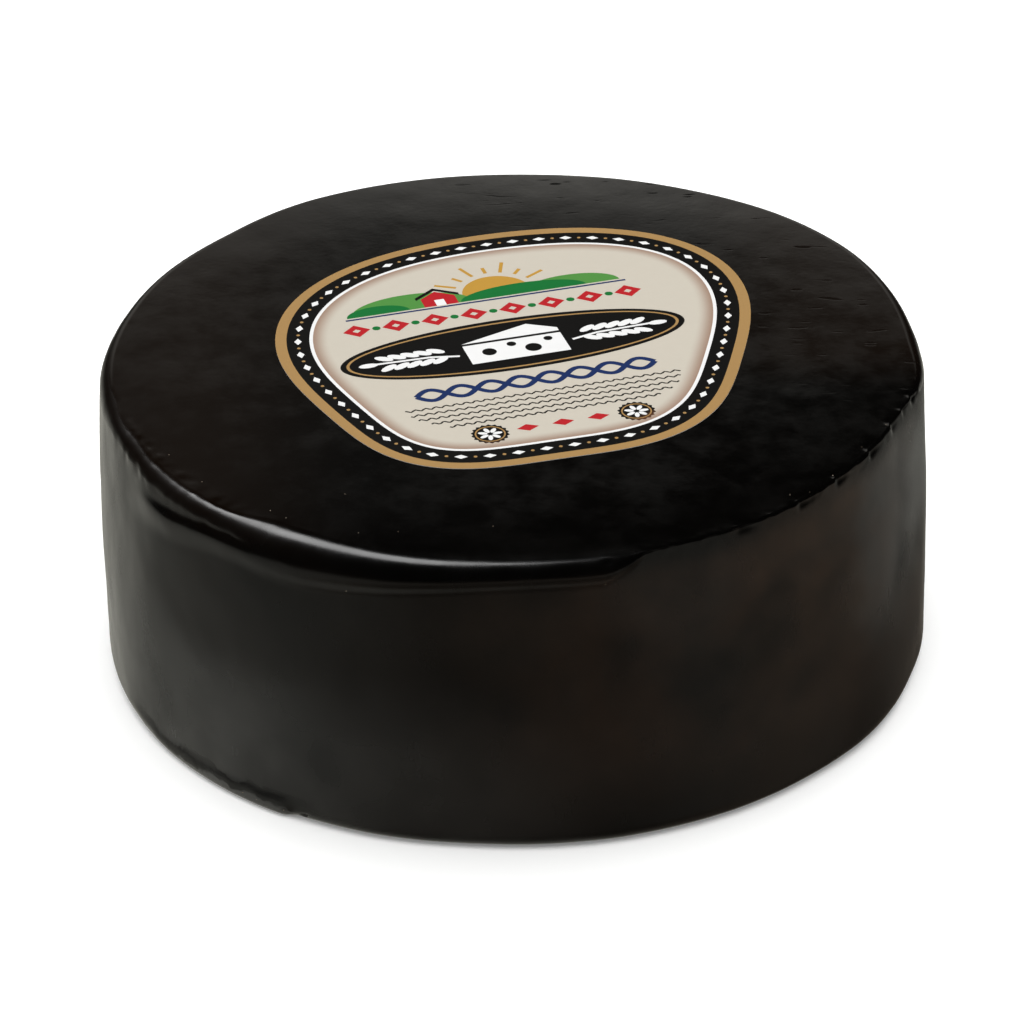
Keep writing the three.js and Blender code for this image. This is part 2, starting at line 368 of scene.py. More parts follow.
@dataclass(frozen=True)
class WaxFinish:
    """Poured black wax with a warm brown cast: satin, clouded, with a few small dull dents, and with painted
    sheen, highlight and shade on its side.
    """

    dark: Colour = (0.0006, 0.0005, 0.0004)
    # The grey of the painted sheen: reflected light painted onto the side.
    warm: Colour = (0.0190, 0.0098, 0.0050)
    grey: Colour = (0.0750, 0.0750, 0.0690)
    smooth: float = 0.20
    rough: float = 0.28
    top_polish: float = 0.11
    worn_roughness: float = 0.08
    specular: float = 0.24
    dull_roughness: float = 0.5
    dull_specular: float = 0.02
    side_top: Span = (0.112, 0.122)
    flat_top: Span = (0.1239, 0.1244)
    top_warmth: float = 0.16
    side_warmth: float = 0.06
    # How far the edges of the painted sheen drift with the clouds.
    sheen_drift: float = 0.014
    lip_top: Span = (0.0035, 0.005)
    lip_drift: float = 0.0035
    # How strong the painted highlight on the foot's lip is.
    lip_highlight: float = 0.34
    torn_place: Place = (0.0383, -0.1512, 0.1220)
    torn_edge: Span = (0.005, 0.009)
    cloud_size: float = 0.055
    patch_size: float = 0.016
    smear_size: float = 0.016
    grain_size: float = 0.0022
    dent_size: float = 0.006
    bump_depth: float = 0.00012

    def material(self) -> bpy.types.Material:
        """Builds the wax's nodes.

        Returns:
            The material: dark wax with a warm cast, a grey painted sheen over it that stands in for reflected
                light, a painted highlight on the foot's lip with painted shade above it, and a bump of smears
                and a fine grain. It is dull in its small dents, and where it is torn at the front.
        """
        material, bench = new_material("black_wax")
        spot = self.spot(bench)
        smears = bench.noise(bench.stretched(spot.place, (1.0, 1.0, 0.45)), self.smear_size, 4.0, 0.6)
        grain = bench.noise(spot.place, self.grain_size, 1.0)
        dents = self.dents(bench, spot)
        normal = bench.bump(1.0, self.bump_depth, smears * 0.25 - dents * 0.2 + grain * 0.06)
        colour = bench.blend(self.warmth(spot), self.dark, self.warm)
        # Painted sheen: grey reflected light painted over the side's colour.
        colour = bench.blend(self.painted_sheen(spot), colour, self.grey)
        wax = bench.coat(colour, self.roughness(spot, smears), self.specular, normal)
        dull = bench.coat(colour, self.dull_roughness, self.dull_specular, normal)
        distance = bench.vectors("DISTANCE", "Value", spot.place, self.torn_place)
        torn = (1.0 - distance.rise(*self.torn_edge)) * (1.0 - spot.on_flat)
        bench.finish(bench.mix_shaders(bench.maths("MAXIMUM", dents, torn), wax, dull))
        return material

    def spot(self, bench: Bench) -> Spot:
        """Adds the nodes that the others share.

        Args:
            bench: The bench of the wax's tree.

        Returns:
            Their wires.
        """
        place = bench.wire("ShaderNodeTexCoord", "Object")
        across, along, up = bench.axes(place)
        on_side = 1.0 - up.rise(*self.side_top)
        clouds = bench.noise(place, self.cloud_size, 2.0).rise(0.34, 0.62)
        patches = bench.noise(place, self.patch_size, 3.0, 0.6).rise(0.36, 0.66)
        return Spot(place, across, along, up, on_side, up.rise(*self.flat_top), clouds, patches)

    def warmth(self, spot: Spot) -> Wire:
        """Gives the share of the warm colour.

        Args:
            spot: The spot on the wax.

        Returns:
            The share: it drifts by clouds and patches, most of all on the side at the right, and there is a
                little on the top at the left and the right. On the right side it is painted stronger high up,
                as painted light, and fades out towards the foot, as painted shade.
        """
        across, along, up = spot.across, spot.along, spot.up
        to_right = (across * 0.8 - along * 0.6).rise(0.06, 0.14)
        # Painted light and shade in the warm cast: stronger high on the right side, and none near the foot.
        warm_and_lit = 0.42 + 0.34 * up.rise(0.05, 0.085) * across.rise(0.065, 0.1)
        at_side = spot.on_side * (self.side_warmth + to_right * up.rise(0.005, 0.05) * warm_and_lit)
        at_edges = (1.0 - across.rise(-0.13, -0.05)) + across.rise(0.06, 0.12) * along.rise(-0.04, 0.0)
        on_top = (1.0 - spot.on_side) * self.top_warmth
        return (spot.clouds * 0.8 + spot.patches * 0.2) * at_side + on_top * at_edges

    def painted_sheen(self, spot: Spot) -> Wire:
        """Gives the share of the painted sheen: grey painted where the side mirrors light.

        Args:
            spot: The spot on the wax.

        Returns:
            The share: grey painted where the side mirrors light, low at the left and high at the right, with
                edges that drift with the clouds, and thickest at the far right. On the foot's lip at the
                front left a painted highlight is added, and right above that a band of painted shade takes
                the sheen away.
        """
        across, along, clouds, patches = spot.across, spot.along, spot.clouds, spot.patches
        drift = (clouds - 0.5) * self.sheen_drift
        up = spot.up + drift
        at_left = 0.75 * (1.0 - across.rise(-0.122, -0.06)) + 0.3 * (1.0 - across.rise(-0.06, 0.05))
        low_left = at_left * (1.0 - up.rise(0.03, 0.08))
        high_right = (across - drift).rise(0.122, 0.146) * up.rise(0.035, 0.08) * spot.on_side
        far_right = across.rise(0.146, 0.157) * up.rise(0.05, 0.075) * (1.0 - up.rise(0.095, 0.11))
        ragged_up = spot.up + (patches - 0.5) * self.lip_drift
        front_left = (1.0 - across.rise(-0.09, -0.07)) * (1.0 - along.rise(-0.08, -0.05))
        over_lip = ragged_up.rise(*self.lip_top)
        # Painted shade: a dark band right above the foot's lip, where the sheen is taken away.
        shaded_band = over_lip * (1.0 - ragged_up.rise(0.0085, 0.0105)) * front_left
        painted_sheen = (low_left + high_right) * (0.22 + 0.22 * clouds + 0.05 * patches)
        painted_sheen = painted_sheen * (1.0 - shaded_band * (0.55 + 0.4 * patches))
        # Painted highlight: grey added on the foot's lip at the front left.
        painted_sheen = painted_sheen + self.lip_highlight * (1.0 - over_lip) * front_left
        return painted_sheen + far_right * (0.4 + 0.2 * clouds)

    def dents(self, bench: Bench, spot: Spot) -> Wire:
        """Gives the small dents.

        Args:
            bench: The bench of the wax's tree.
            spot: The spot on the wax.

        Returns:
            1 inside a dent and 0 elsewhere. They lie on the top, towards the back right.
        """
        hollows = bench.noise(bench.stretched(spot.place, (0.45, 1.8, 1.0)), self.dent_size, 1.0)
        back_right = (spot.across * 0.8 + spot.along * 0.6).rise(0.04, 0.12)
        return hollows.rise(0.68, 0.76) * back_right * spot.up.rise(0.123, 0.1245)

    def roughness(self, spot: Spot, smears: Wire) -> Wire:
        """Gives the roughness.

        Args:
            spot: The spot on the wax.
            smears: The noise of the smears.

        Returns:
            The roughness: it follows the smears, lower on the top, higher on the worn rim at the left.
        """
        worn = spot.up.rise(0.117, 0.121) * (1.0 - spot.across.rise(-0.115, -0.08)) * (1.0 - spot.on_flat)
        smeared = self.smooth + (self.rough - self.smooth) * smears.rise(0.3, 0.7)
        return smeared + self.worn_roughness * worn - self.top_polish * spot.on_flat


@dataclass(frozen=True)
class PaperFinish:
    """Coated label paper, printed: the ink's colour comes from the mesh, face by face."""

    ink_name: str
    inset_name: str
    field_edge: float
    shade: Colour = srgb(140, 88, 54)
    shade_reach: float = 6.5
    shade_strength: float = 0.72
    roughness: float = 0.42
    fibre_roughness: float = 0.16
    specular: float = 0.06
    bump_depth: float = 0.00004
    whiteness: Span = (0.59, 0.645)

    def material(self) -> bpy.types.Material:
        """Builds the paper's nodes.

        Returns:
            The material: the printed colour, faintly mottled as ink on fibre is, with a brown shade
            that fades inwards from the edge of the cream field.
        """
        material, bench = new_material("printed_paper")
        place = bench.wire("ShaderNodeTexCoord", "Object")
        ink = bench.wire("ShaderNodeAttribute", "Color", {"attribute_name": self.ink_name})
        inset = bench.wire("ShaderNodeAttribute", "Fac", {"attribute_name": self.inset_name})
        fading = 1.0 - inset.rise(self.field_edge - 1.0, self.field_edge + self.shade_reach)
        in_field = inset.rise(self.field_edge - 0.05, self.field_edge + 0.05)
        mottle = bench.noise(place, 0.004, 4.0, 0.65)
        fibre = bench.noise(bench.stretched(place, (1.0, 3.0, 1.0)), 0.0012, 3.0, 0.6)
        shaded = bench.blend(fading * in_field * self.shade_strength, ink, self.shade)
        darker, lighter = ((value, value, value) for value in self.whiteness)
        grey = bench.blend(mottle * 0.5 + fibre * 0.5, darker, lighter)
        colour = bench.blend(1.0, shaded, grey, "MULTIPLY")
        roughness = self.roughness + self.fibre_roughness * fibre
        normal = bench.bump(0.5, self.bump_depth, fibre + mottle)
        bench.finish(bench.coat(colour, roughness, self.specular, normal))
        return material


@dataclass(frozen=True)
class Zone:
    """A stretch round the wheel, in degrees, that comes in and goes out smoothly."""

    start: float
    end: float
    fade_in: float
    fade_out: float
    strength: float = 1.0

    def at(self, azimuth: Array) -> Array:
        """Gives how strongly the zone counts.

        Args:
            azimuth: The azimuths.

        Returns:
            0 outside the zone and its strength inside, with smooth steps at its ends.
        """
        length = (self.end - self.start) % 360.0
        along = (azimuth - self.start) % 360.0
        inside = rise(along, 0.0, self.fade_in) * (1.0 - rise(along, length - self.fade_out, length))
        return self.strength * np.where(along > length, 0.0, inside)


def strongest(azimuth: Array, zones: Sequence[Zone]) -> Array:
    """The largest strength of several zones at each azimuth."""
    return np.max([zone.at(azimuth) for zone in zones], axis=0)


@dataclass(frozen=True)
class Wave:
    """A slow wave of the outline, as seen from above."""

    lobes: int
    swell: float
    facing: float

    def at(self, azimuth: Array) -> Array:
        """Its height: swell times the cosine of lobes times the turn from facing."""
        return self.swell * np.cos(np.radians(self.lobes * (azimuth - self.facing)))


@dataclass(frozen=True)
class Lump:
    """A slow wave round the side, twisted over the wheel's height: twist and start are in radians."""

    turns: int
    twist: float
    start: float
    size: float

    def at(self, azimuth: Array, share: Array) -> Array:
        """Its height: size times the sine of turns times the azimuth, plus twist times share, plus start."""
        return self.size * np.sin(self.turns * np.radians(azimuth) + self.twist * share + self.start)


@dataclass(frozen=True)
class Tear:
    """A small tear in the pinched rim. It breaks off sharply on one side and runs out on the other."""

    azimuth: float
    width: float
    tail: float
    bite: float

    def at(self, azimuth: Array) -> Array:
        """How deep it bites in: a bell, with its width before the deepest place and its tail past it."""
        past = turn(self.azimuth, azimuth)
        return self.bite * bell(past, np.where(past < 0, self.width, self.tail))


@dataclass(frozen=True)
class Bulge:
    """A stretch of the side that stands out, with one nose that stands out further."""

    zone: Zone
    swell: float
    nose: float = 0.0
    nose_azimuth: float = 0.0
    nose_width: float = 1.0

    def at(self, azimuth: Array) -> Array:
        """How far it stands out: its swell and its nose, inside its zone."""
        nose = self.nose * bell(turn(self.nose_azimuth, azimuth), self.nose_width)
        return self.zone.at(azimuth) * (self.swell + nose)


@dataclass(frozen=True)
class Swelling:
    """A bulge that grows from nothing at a low height to its full size at a high one."""

    bulge: Bulge
    low: float
    high: float

    def at(self, height: Array, azimuth: Array) -> Array:
        """How far it stands out at each height and azimuth."""
        return self.bulge.at(azimuth) * rise(height, self.low, self.high)


@dataclass(frozen=True)
class Chip:
    """A wedge broken out of the bottom edge."""

    azimuth: float = -119.8
    depth: float = 3.2
    height: float = 4.4


@dataclass
class WaxedWheel:
    """The cheese in its coat of wax, as one closed surface."""

    height: float
    top_radius: float = 160.0
    base_radius: float = 163.7
    side_taper_power: float = 2.2
    foot_round_in: float = 6.1
    foot_round_up: float = 7.4
    level_radius: float = 118.0
    base_rings: tuple[float, ...] = (60.0, 120.0, 148.0)
    low_side: float = 18.0
    high_side: float = 88.0
    inner_top: Span = (112.0, 10.0)
    foot_count: int = 12
    low_count: int = 11
    middle_count: int = 25
    upper_count: int = 26
    rim_count: int = 22
    outer_count: int = 17
    outer_crowding: float = 1.7
    inner_count: int = 11
    top_waves: tuple[Wave, ...] = (Wave(2, 0.25, 0), Wave(3, 0.55, -55), Wave(4, 0.9, 35))
    base_waves: tuple[Wave, ...] = (Wave(2, 0.4, 0), Wave(4, 0.3, 36))

    rim_in: float = 5.5
    rim_down: float = 8.3
    wide_rim: Zone = Zone(-172, -72, 12, 5)
    wide_size: float = 14.0
    narrow_size: float = 6.0
    narrows: Span = (-140.0, -85.0)
    rim_slant: float = 0.91
    upright: Zone = Zone(-174, -122, 12, 9)
    upright_size: float = 6.0
    swellings: tuple[Swelling, ...] = (
        Swelling(Bulge(Zone(-156, -45, 16, 35), 2.4, 1.5, -111, 17), 35, 100),
        Swelling(Bulge(Zone(-25, 140, 25, 20), 2.5, 1.8, 47, 20), 15, 80),
        Swelling(Bulge(Zone(-9, 34, 11, 14), -1.2), 35, 100),
        Swelling(Bulge(Zone(100, 150, 20, 20), 0.9), 35, 100),
        Swelling(Bulge(Zone(-48, 0, 18, 14), 1.2), 75, 10),
    )
    tucked: Bulge = Bulge(Zone(-156, -72, 16, 6), 1.9, 1.3, -111, 17)
    tuck_length: float = 0.9
    dip_azimuth: float = -159.0
    dip_width: float = 8.0
    dip: float = 5.5
    kink_azimuth: float = -132.0
    kink_width: float = 9.0
    kink_lift: float = 3.4
    setback: Zone = Zone(-151, -121, 9, 9)
    setback_height: float = 4.0
    setback_depth: float = 1.5
    droop: Zone = Zone(-128, -71, 20, 5)
    droop_drop: float = 0.6
    edge_drop: float = 0.6
    droop_from: float = 95.0

    pinch: Zone = Zone(-79, 2, 7, 22)
    pinch_in: float = 1.2
    pinch_down: float = 1.2
    press: Zone = Zone(-80, -10, 14, 14)
    press_depth: float = 2.2
    tear_reach: float = 4.0
    tear_drop: float = 0.35

    lips: tuple[Zone, ...] = (Zone(-160, -121, 18, 2.5), Zone(18, 78, 14, 10, 0.8))
    lip_round_in: float = 3.6
    lip_round_up: float = 5.0
    lip_swell: float = 0.8
    lip_slope: Span = (6.0, 9.5)
    lip_noises: tuple[tuple[float, float, int], ...] = ((9.0, 0.9, 11), (3.5, 0.54, 12))
    chip: Chip = Chip()
    slow_lumps: tuple[Lump, ...] = (
        Lump(5, 5.4, 0.6, 0.16),
        Lump(5, 0.8, -0.6, 0.16),
        Lump(9, -4.2, 1.3, 0.224),
        Lump(14, 6.5, 2.1, 0.16),
    )
    meridian_count: int = 800
    noises: tuple[Span, ...] = ((26.0, 0.22), (11.0, 0.10), (4.5, 0.03))
    side_inset: float = 0.25
    uneven_top: float = 0.25
    worn: Zone = Zone(-168, -108, 12, 42, 0.34)
    worn_noise: tuple[float, int] = (4.4, 9)
    ragged: Zone = Zone(-36, -6, 8, 14, 0.4)
    least_ragged: float = 0.2
    ragged_noise: tuple[float, int] = (2.6, 10)
    rough_on_top: float = 0.5
    worn_depths: Span = (14.0, 4.0)
    worn_radii: Span = (152.0, 154.5)
    ragged_depths: Span = (5.0, 2.5)
    ragged_radii: Span = (157.0, 158.5)
    over_share: float = 0.7
    level_fade: float = 12.0
    level_calm: float = 0.8

    tears: tuple[Tear, ...] = (
        Tear(-14.8, 0.5, 1.9, 0.6),
        Tear(-19, 0.4, 1.4, 0.4),
        Tear(-23.5, 0.5, 2.2, 0.7),
        Tear(-31.5, 0.5, 3.0, 0.9),
        Tear(-40.5, 0.5, 3.0, 0.7),
        Tear(-48.5, 0.5, 3.0, 0.6),
        Tear(-59, 0.5, 2.4, 0.4),
        Tear(-78, 0.7, 0.7, 0.7),
    )

    def build(self) -> bpy.types.Object:
        """Builds and dresses the wheel.

        Returns:
            The finished piece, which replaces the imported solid.
        """
        points = self.waxed(self.meridians()[None, :])
        rings, around = points.shape[:2]
        vertices = np.concatenate([points.reshape(-1, 3), [[0, 0, 0], [0, 0, self.height]]])
        piece = add_piece("waxed_wheel", vertices, closed_faces(rings, around), smooth=True)
        piece.data.materials.append(WaxFinish().material())
        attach(piece, BODY)
        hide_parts("wheel")
        return piece

    def meridians(self) -> Array:
        """Shares the meridians out by a density: higher at the front, and highest where the wax is broken.

        Returns:
            The azimuth of each meridian.
        """
        azimuth = np.linspace(-180.0, 180.0, 7201)
        front = rise(-np.sin(np.radians(azimuth)), -0.2, 0.3)
        at_chip = bell(turn(self.chip.azimuth, azimuth), 2.5)
        at_kink = bell(turn(self.kink_azimuth, azimuth), self.kink_width)
        density = 1.0 + 0.7 * front + 5.0 * at_chip + at_kink + 0.8 * self.pinch.at(azimuth)
        share = np.cumsum(density)
        share = (share - share[0]) / (share[-1] - share[0])
        return np.interp(np.arange(self.meridian_count) / self.meridian_count, share, azimuth)

    def side_radius(self, height: Array | float) -> Array:
        """The side's plain radius, which shrinks from the base by a power of the height's share."""
        share = np.clip(height / self.height, 0.0, 1.0)
        return self.base_radius + (self.top_radius - self.base_radius) * share**self.side_taper_power

    def rim_size(self, azimuth: Array) -> Array:
        """The rim's size at the front left, downwards: it shrinks from the left towards the middle."""
        return self.wide_size + (self.narrow_size - self.wide_size) * rise(azimuth, *self.narrows)

    def crest(self, azimuth: Array) -> Array:
        """Gives the height at which the side stands out furthest.

        Args:
            azimuth: The azimuths.

        Returns:
            The height: it lies a rim's size below the top, with one dip and one kink at the left, and
            close to the top where the rim is pinched.
        """
        drop = self.rim_down + (self.rim_size(azimuth) - self.rim_down) * self.wide_rim.at(azimuth)
        drop = drop + self.dip * bell(turn(self.dip_azimuth, azimuth), self.dip_width)
        drop = drop - self.kink_lift * bell(turn(self.kink_azimuth, azimuth), self.kink_width)
        return self.height - drop - (self.pinch_down - drop) * self.pinch.at(azimuth)

    def rounding(self, azimuth: Array) -> tuple[Array, Array]:
        """Gives the size of the rim's rounding, a quarter ellipse, at each azimuth.

        Args:
            azimuth: The azimuths.

        Returns:
            How far it reaches inwards and downwards: its plain size, widened at the front left and drawn
            together where the rim is pinched. It ends at the crest, but at the left it is smaller, and
            the wax stands upright from there down to the crest.
        """
        wide = self.wide_rim.at(azimuth)
        inwards = self.rim_in + (self.rim_size(azimuth) * self.rim_slant - self.rim_in) * wide
        inwards = inwards + (self.pinch_in - inwards) * self.pinch.at(azimuth)
        down = self.height - self.crest(azimuth)
        upright = self.upright.at(azimuth)
        inwards = inwards + (self.upright_size - inwards) * upright
        return inwards, down + (self.upright_size - down) * upright

    def foot_rings(self, azimuth: Array) -> tuple[Array, Array]:
        """Lays out the foot's rounding, a quarter ellipse, which is smaller at the lips.

        Args:
            azimuth: The azimuths, as a row.

        Returns:
            The radius and the height of each ring, upwards.
        """
        lip = strongest(azimuth, self.lips)
        inwards = self.foot_round_in + (self.lip_round_in - self.foot_round_in) * lip
        upwards = self.foot_round_up + (self.lip_round_up - self.foot_round_up) * lip
        angle = np.radians(np.linspace(-90, 0, self.foot_count))[:, None]
        height = upwards * (1 + np.sin(angle))
        return self.side_radius(height) - inwards * (1 - np.cos(angle)), height

    def rim_rings(self, azimuth: Array) -> tuple[Array, Array]:
        """Lays out the rim's rounding, a quarter ellipse that starts where the plain side ends.

        Args:
            azimuth: The azimuths, as a row.

        Returns:
            The radius and the height of each ring, upwards.
        """
        inwards, down = self.rounding(azimuth)
        start = self.height - down
        angle = np.radians(np.linspace(0, 90, self.rim_count))[:, None]
        radius = self.side_radius(self.height) - inwards * (1 - np.cos(angle))
        radius += (self.side_radius(start) - self.side_radius(self.height)) * np.cos(angle) ** 2
        return radius, start + down * np.sin(angle)

    def profile(self, azimuth: Array) -> tuple[Array, Array]:
        """Lays out the plain profile: base, foot's rounding, side, rim's rounding, top.

        Args:
            azimuth: The azimuths, as a row.

        Returns:
            The radius and the height of each ring at each azimuth.
        """
        foot_radius, foot_height = self.foot_rings(azimuth)
        rim_radius, rim_height = self.rim_rings(azimuth)
        foot_end, rim_start, edge = foot_height[-1:], rim_height[:1], rim_radius[-1:]
        one = np.ones_like(azimuth)
        base = np.array(self.base_rings)[:, None] * one
        low = foot_end + (self.low_side - foot_end) * np.linspace(0, 1, self.low_count)[1:, None]
        middle = np.linspace(self.low_side, self.high_side, self.middle_count)[1:, None] * one
        upper = np.linspace(0, 1, self.upper_count)[1:-1, None]
        side = np.concatenate([low, middle, self.high_side + (rim_start - self.high_side) * upper])
        outwards = np.linspace(0, 1, self.outer_count)[1:, None] ** self.outer_crowding
        inner = np.linspace(*self.inner_top, self.inner_count)[:, None] * one
        top = np.concatenate([edge + (self.level_radius - edge) * outwards, inner])
        radius = [base, foot_radius, self.side_radius(side), rim_radius, top]
        height = [np.zeros_like(base), foot_height, side, rim_height, np.full_like(top, self.height)]
        return np.concatenate(radius), np.concatenate(height)

    def swell(self, height: Array, azimuth: Array) -> Array:
        """How far the swellings stand out of the plain side.

        Args:
            height: The heights.
            azimuth: The azimuths.

        Returns:
            The slow swellings, and the tucked bulge, which grows over a short height right under the
            crest. At the left, what stands above the crest is set back a little.
        """
        crest = self.crest(azimuth)
        length = self.tuck_length * (self.height - crest)
        total = self.tucked.at(azimuth) * rise((height - crest) / length, -1.0, 0.0)
        total = total + sum(one.at(height, azimuth) for one in self.swellings)
        setback = self.setback_depth * self.setback.at(azimuth)
        return total - setback * rise((height - crest) / self.setback_height, 0.0, 1.0)

    def outline(self, height: Array, azimuth: Array) -> Array:
        """How far the side stands out of a true drum, or lies behind it.

        Args:
            height: The heights.
            azimuth: The azimuths.

        Returns:
            The top's waves and the base's, each by its share of the height, less the part that is
            pressed in at the right.
        """
        share = height / self.height
        waves = share * sum(wave.at(azimuth) for wave in self.top_waves)
        waves += (1.0 - share) * sum(wave.at(azimuth) for wave in self.base_waves)
        return waves - self.press_depth * self.press.at(azimuth) * share**2

    def foot_relief(self, height: Array, azimuth: Array) -> Array:
        """Gives the lips, where the wax ran down and set.

        Args:
            height: The heights.
            azimuth: The azimuths, as a row.

        Returns:
            How far a lip stands out, below a slope whose height is made ragged by noise round the foot.
        """
        ring = on_ring(self.base_radius, azimuth, 0.0)
        ragged = sum(size * soft_noise(ring, pitch, seed) for pitch, size, seed in self.lip_noises)
        slope = 1.0 - rise(height + ragged, *self.lip_slope)
        return strongest(azimuth, self.lips) * self.lip_swell * slope

    def lumps(self, azimuth: Array, height: Array) -> Array:
        """The slow lumps, which cross each other."""
        return sum(one.at(azimuth, height / self.height) for one in self.slow_lumps)

    def tear(self, radius: Array, height: Array, azimuth: Array) -> Array:
        """Gives how deep the tears bite.

        Args:
            radius: The radii.
            height: The heights.
            azimuth: The azimuths.

        Returns:
            The tears added up, fading with the distance from the rim's corner.
        """
        distance = np.maximum(self.side_radius(self.height) - radius, self.height - height)
        near = 1.0 - rise(distance, 0.3 * self.tear_reach, self.tear_reach)
        return near * sum(one.at(azimuth) for one in self.tears)

    def droops(self, radius: Array, height: Array, azimuth: Array) -> Array:
        """Gives how far the top sinks towards its edge.

        Args:
            radius: The radii.
            height: The heights.
            azimuth: The azimuths.

        Returns:
            The drop: it grows by the square of the way from the level middle to the edge, and is larger
            at the front left.
        """
        past = np.clip((radius - self.level_radius) / (self.top_radius - self.level_radius), 0.0, 1.0)
        drop = self.edge_drop + self.droop_drop * self.droop.at(azimuth)
        return drop * past**2 * rise(height, self.droop_from, self.height)

    def waxed(self, azimuth: Array) -> Array:
        """Gives each point of the profile its true place on the wax.

        Args:
            azimuth: The azimuths, as a row.

        Returns:
            A grid of x, y and z: the profile, moved outwards and downwards by each relief in turn.
        """
        plain_radius, plain_height = self.profile(azimuth)
        outer = rise(plain_radius, self.level_radius, self.top_radius - self.rim_in)
        tear = self.tear(plain_radius, plain_height, azimuth)
        outwards = self.outline(plain_height, azimuth) + self.swell(plain_height, azimuth)
        outwards += self.foot_relief(plain_height, azimuth) + self.lumps(azimuth, plain_height) - tear
        radius = plain_radius + outwards * outer
        height = plain_height - self.droops(plain_radius, plain_height, azimuth) - self.tear_drop * tear
        uneven, rough = self.unevenness(radius, height, azimuth)
        rim_down = self.rounding(azimuth)[1]
        over = rise(plain_height, self.height - self.over_share * rim_down, self.height)
        radius = radius + (uneven + rough - self.side_inset) * (1.0 - over) * outer
        level = 1.0 - rise(radius, self.level_radius - self.level_fade, self.level_radius)
        bumps = self.uneven_top * uneven
        bumps = np.where(level > 0, np.minimum(bumps, 0.0) * (1.0 - self.level_calm * level), bumps)
        height = height + over * (bumps + self.rough_on_top * rough)
        height = np.where(plain_height > 0, height, 0.0)
        return on_ring(self.chipped(radius, height, azimuth), azimuth, height)

    def near_top(self, height: Array, depths: Span) -> Array:
        """A smooth step from the first depth below the top to the second."""
        return rise(height, self.height - depths[0], self.height - depths[1])

    def unevenness(self, radius: Array, height: Array, azimuth: Array) -> tuple[Array, Array]:
        """Gives the small unevenness of poured wax.

        Args:
            radius: The radii.
            height: The heights.
            azimuth: The azimuths.

        Returns:
            Three sizes of smooth noise added up, and the rougher noises of the rim: where it is worn, at
            the left, and where it is pinched.
        """
        points = on_ring(radius, azimuth, height)
        total = sum(size * soft_noise(points, pitch, seed) for seed, (pitch, size) in enumerate(self.noises))
        worn = self.worn.at(azimuth) * self.near_top(height, self.worn_depths)
        worn = worn * rise(radius, *self.worn_radii)
        ragged = self.ragged.at(azimuth) + self.least_ragged * self.pinch.at(azimuth)
        ragged = ragged * self.near_top(height, self.ragged_depths) * rise(radius, *self.ragged_radii)
        rough = worn * soft_noise(points, *self.worn_noise) + ragged * soft_noise(points, *self.ragged_noise)
        return total, rough

    def chipped(self, radius: Array, height: Array, azimuth: Array) -> Array:
        """Cuts the chip out of the foot's edge.

        Args:
            radius: The radii.
            height: The heights.
            azimuth: The azimuths.

        Returns:
            The radii, held back inside a notch: its deepest place, plus the distance along the edge.
        """
        along = np.radians(np.abs(turn(self.chip.azimuth, azimuth))) * self.base_radius
        limit = self.base_radius - self.chip.depth + along
        low = 1.0 - rise(height, self.chip.height - 1.0, self.chip.height)
        return radius - low * np.maximum(radius - limit, 0.0)


@dataclass(frozen=True)
class CrumbFinish:
    """Dry crumbs: pale grey brown and dull."""

    pale: Colour = srgb(150, 140, 124)
    brown: Colour = srgb(86, 70, 54)
    roughness: float = 0.8
    specular: float = 0.2
    patch_size: float = 0.0009
    bump_depth: float = 0.0001

    def material(self) -> bpy.types.Material:
        """Builds the crumbs' nodes.

        Returns:
            The material: a fine mottle of the two colours, which also roughens them.
        """
        material, bench = new_material("crumbs")
        mottle = bench.noise(bench.wire("ShaderNodeTexCoord", "Object"), self.patch_size, 2.0)
        colour = bench.blend(mottle.rise(0.35, 0.65), self.brown, self.pale)
        normal = bench.bump(0.6, self.bump_depth, mottle)
        bench.finish(bench.coat(colour, self.roughness, self.specular, normal))
        return material


@dataclass(frozen=True)
class Crumb:
    """One crumb: on the top, where place is its distance from the middle, or on the side, at a height."""

    azimuth: float
    place: float
    size: float = 0.6
    on_top: bool = True

    def ray(self) -> tuple[Vector, Vector]:
        """Gives the ray that finds the crumb's spot on the wax.

        Returns:
            Where it starts, clear of the wheel, and which way it runs, in metres.
        """
        around = math.radians(self.azimuth)
        outwards = Vector((math.cos(around), math.sin(around), 0.0))
        upwards = Vector((0.0, 0.0, 1.0))
        if self.on_top:
            return outwards * self.place * MM + upwards * CLEAR, -upwards
        return outwards * CLEAR + upwards * self.place * MM, -outwards


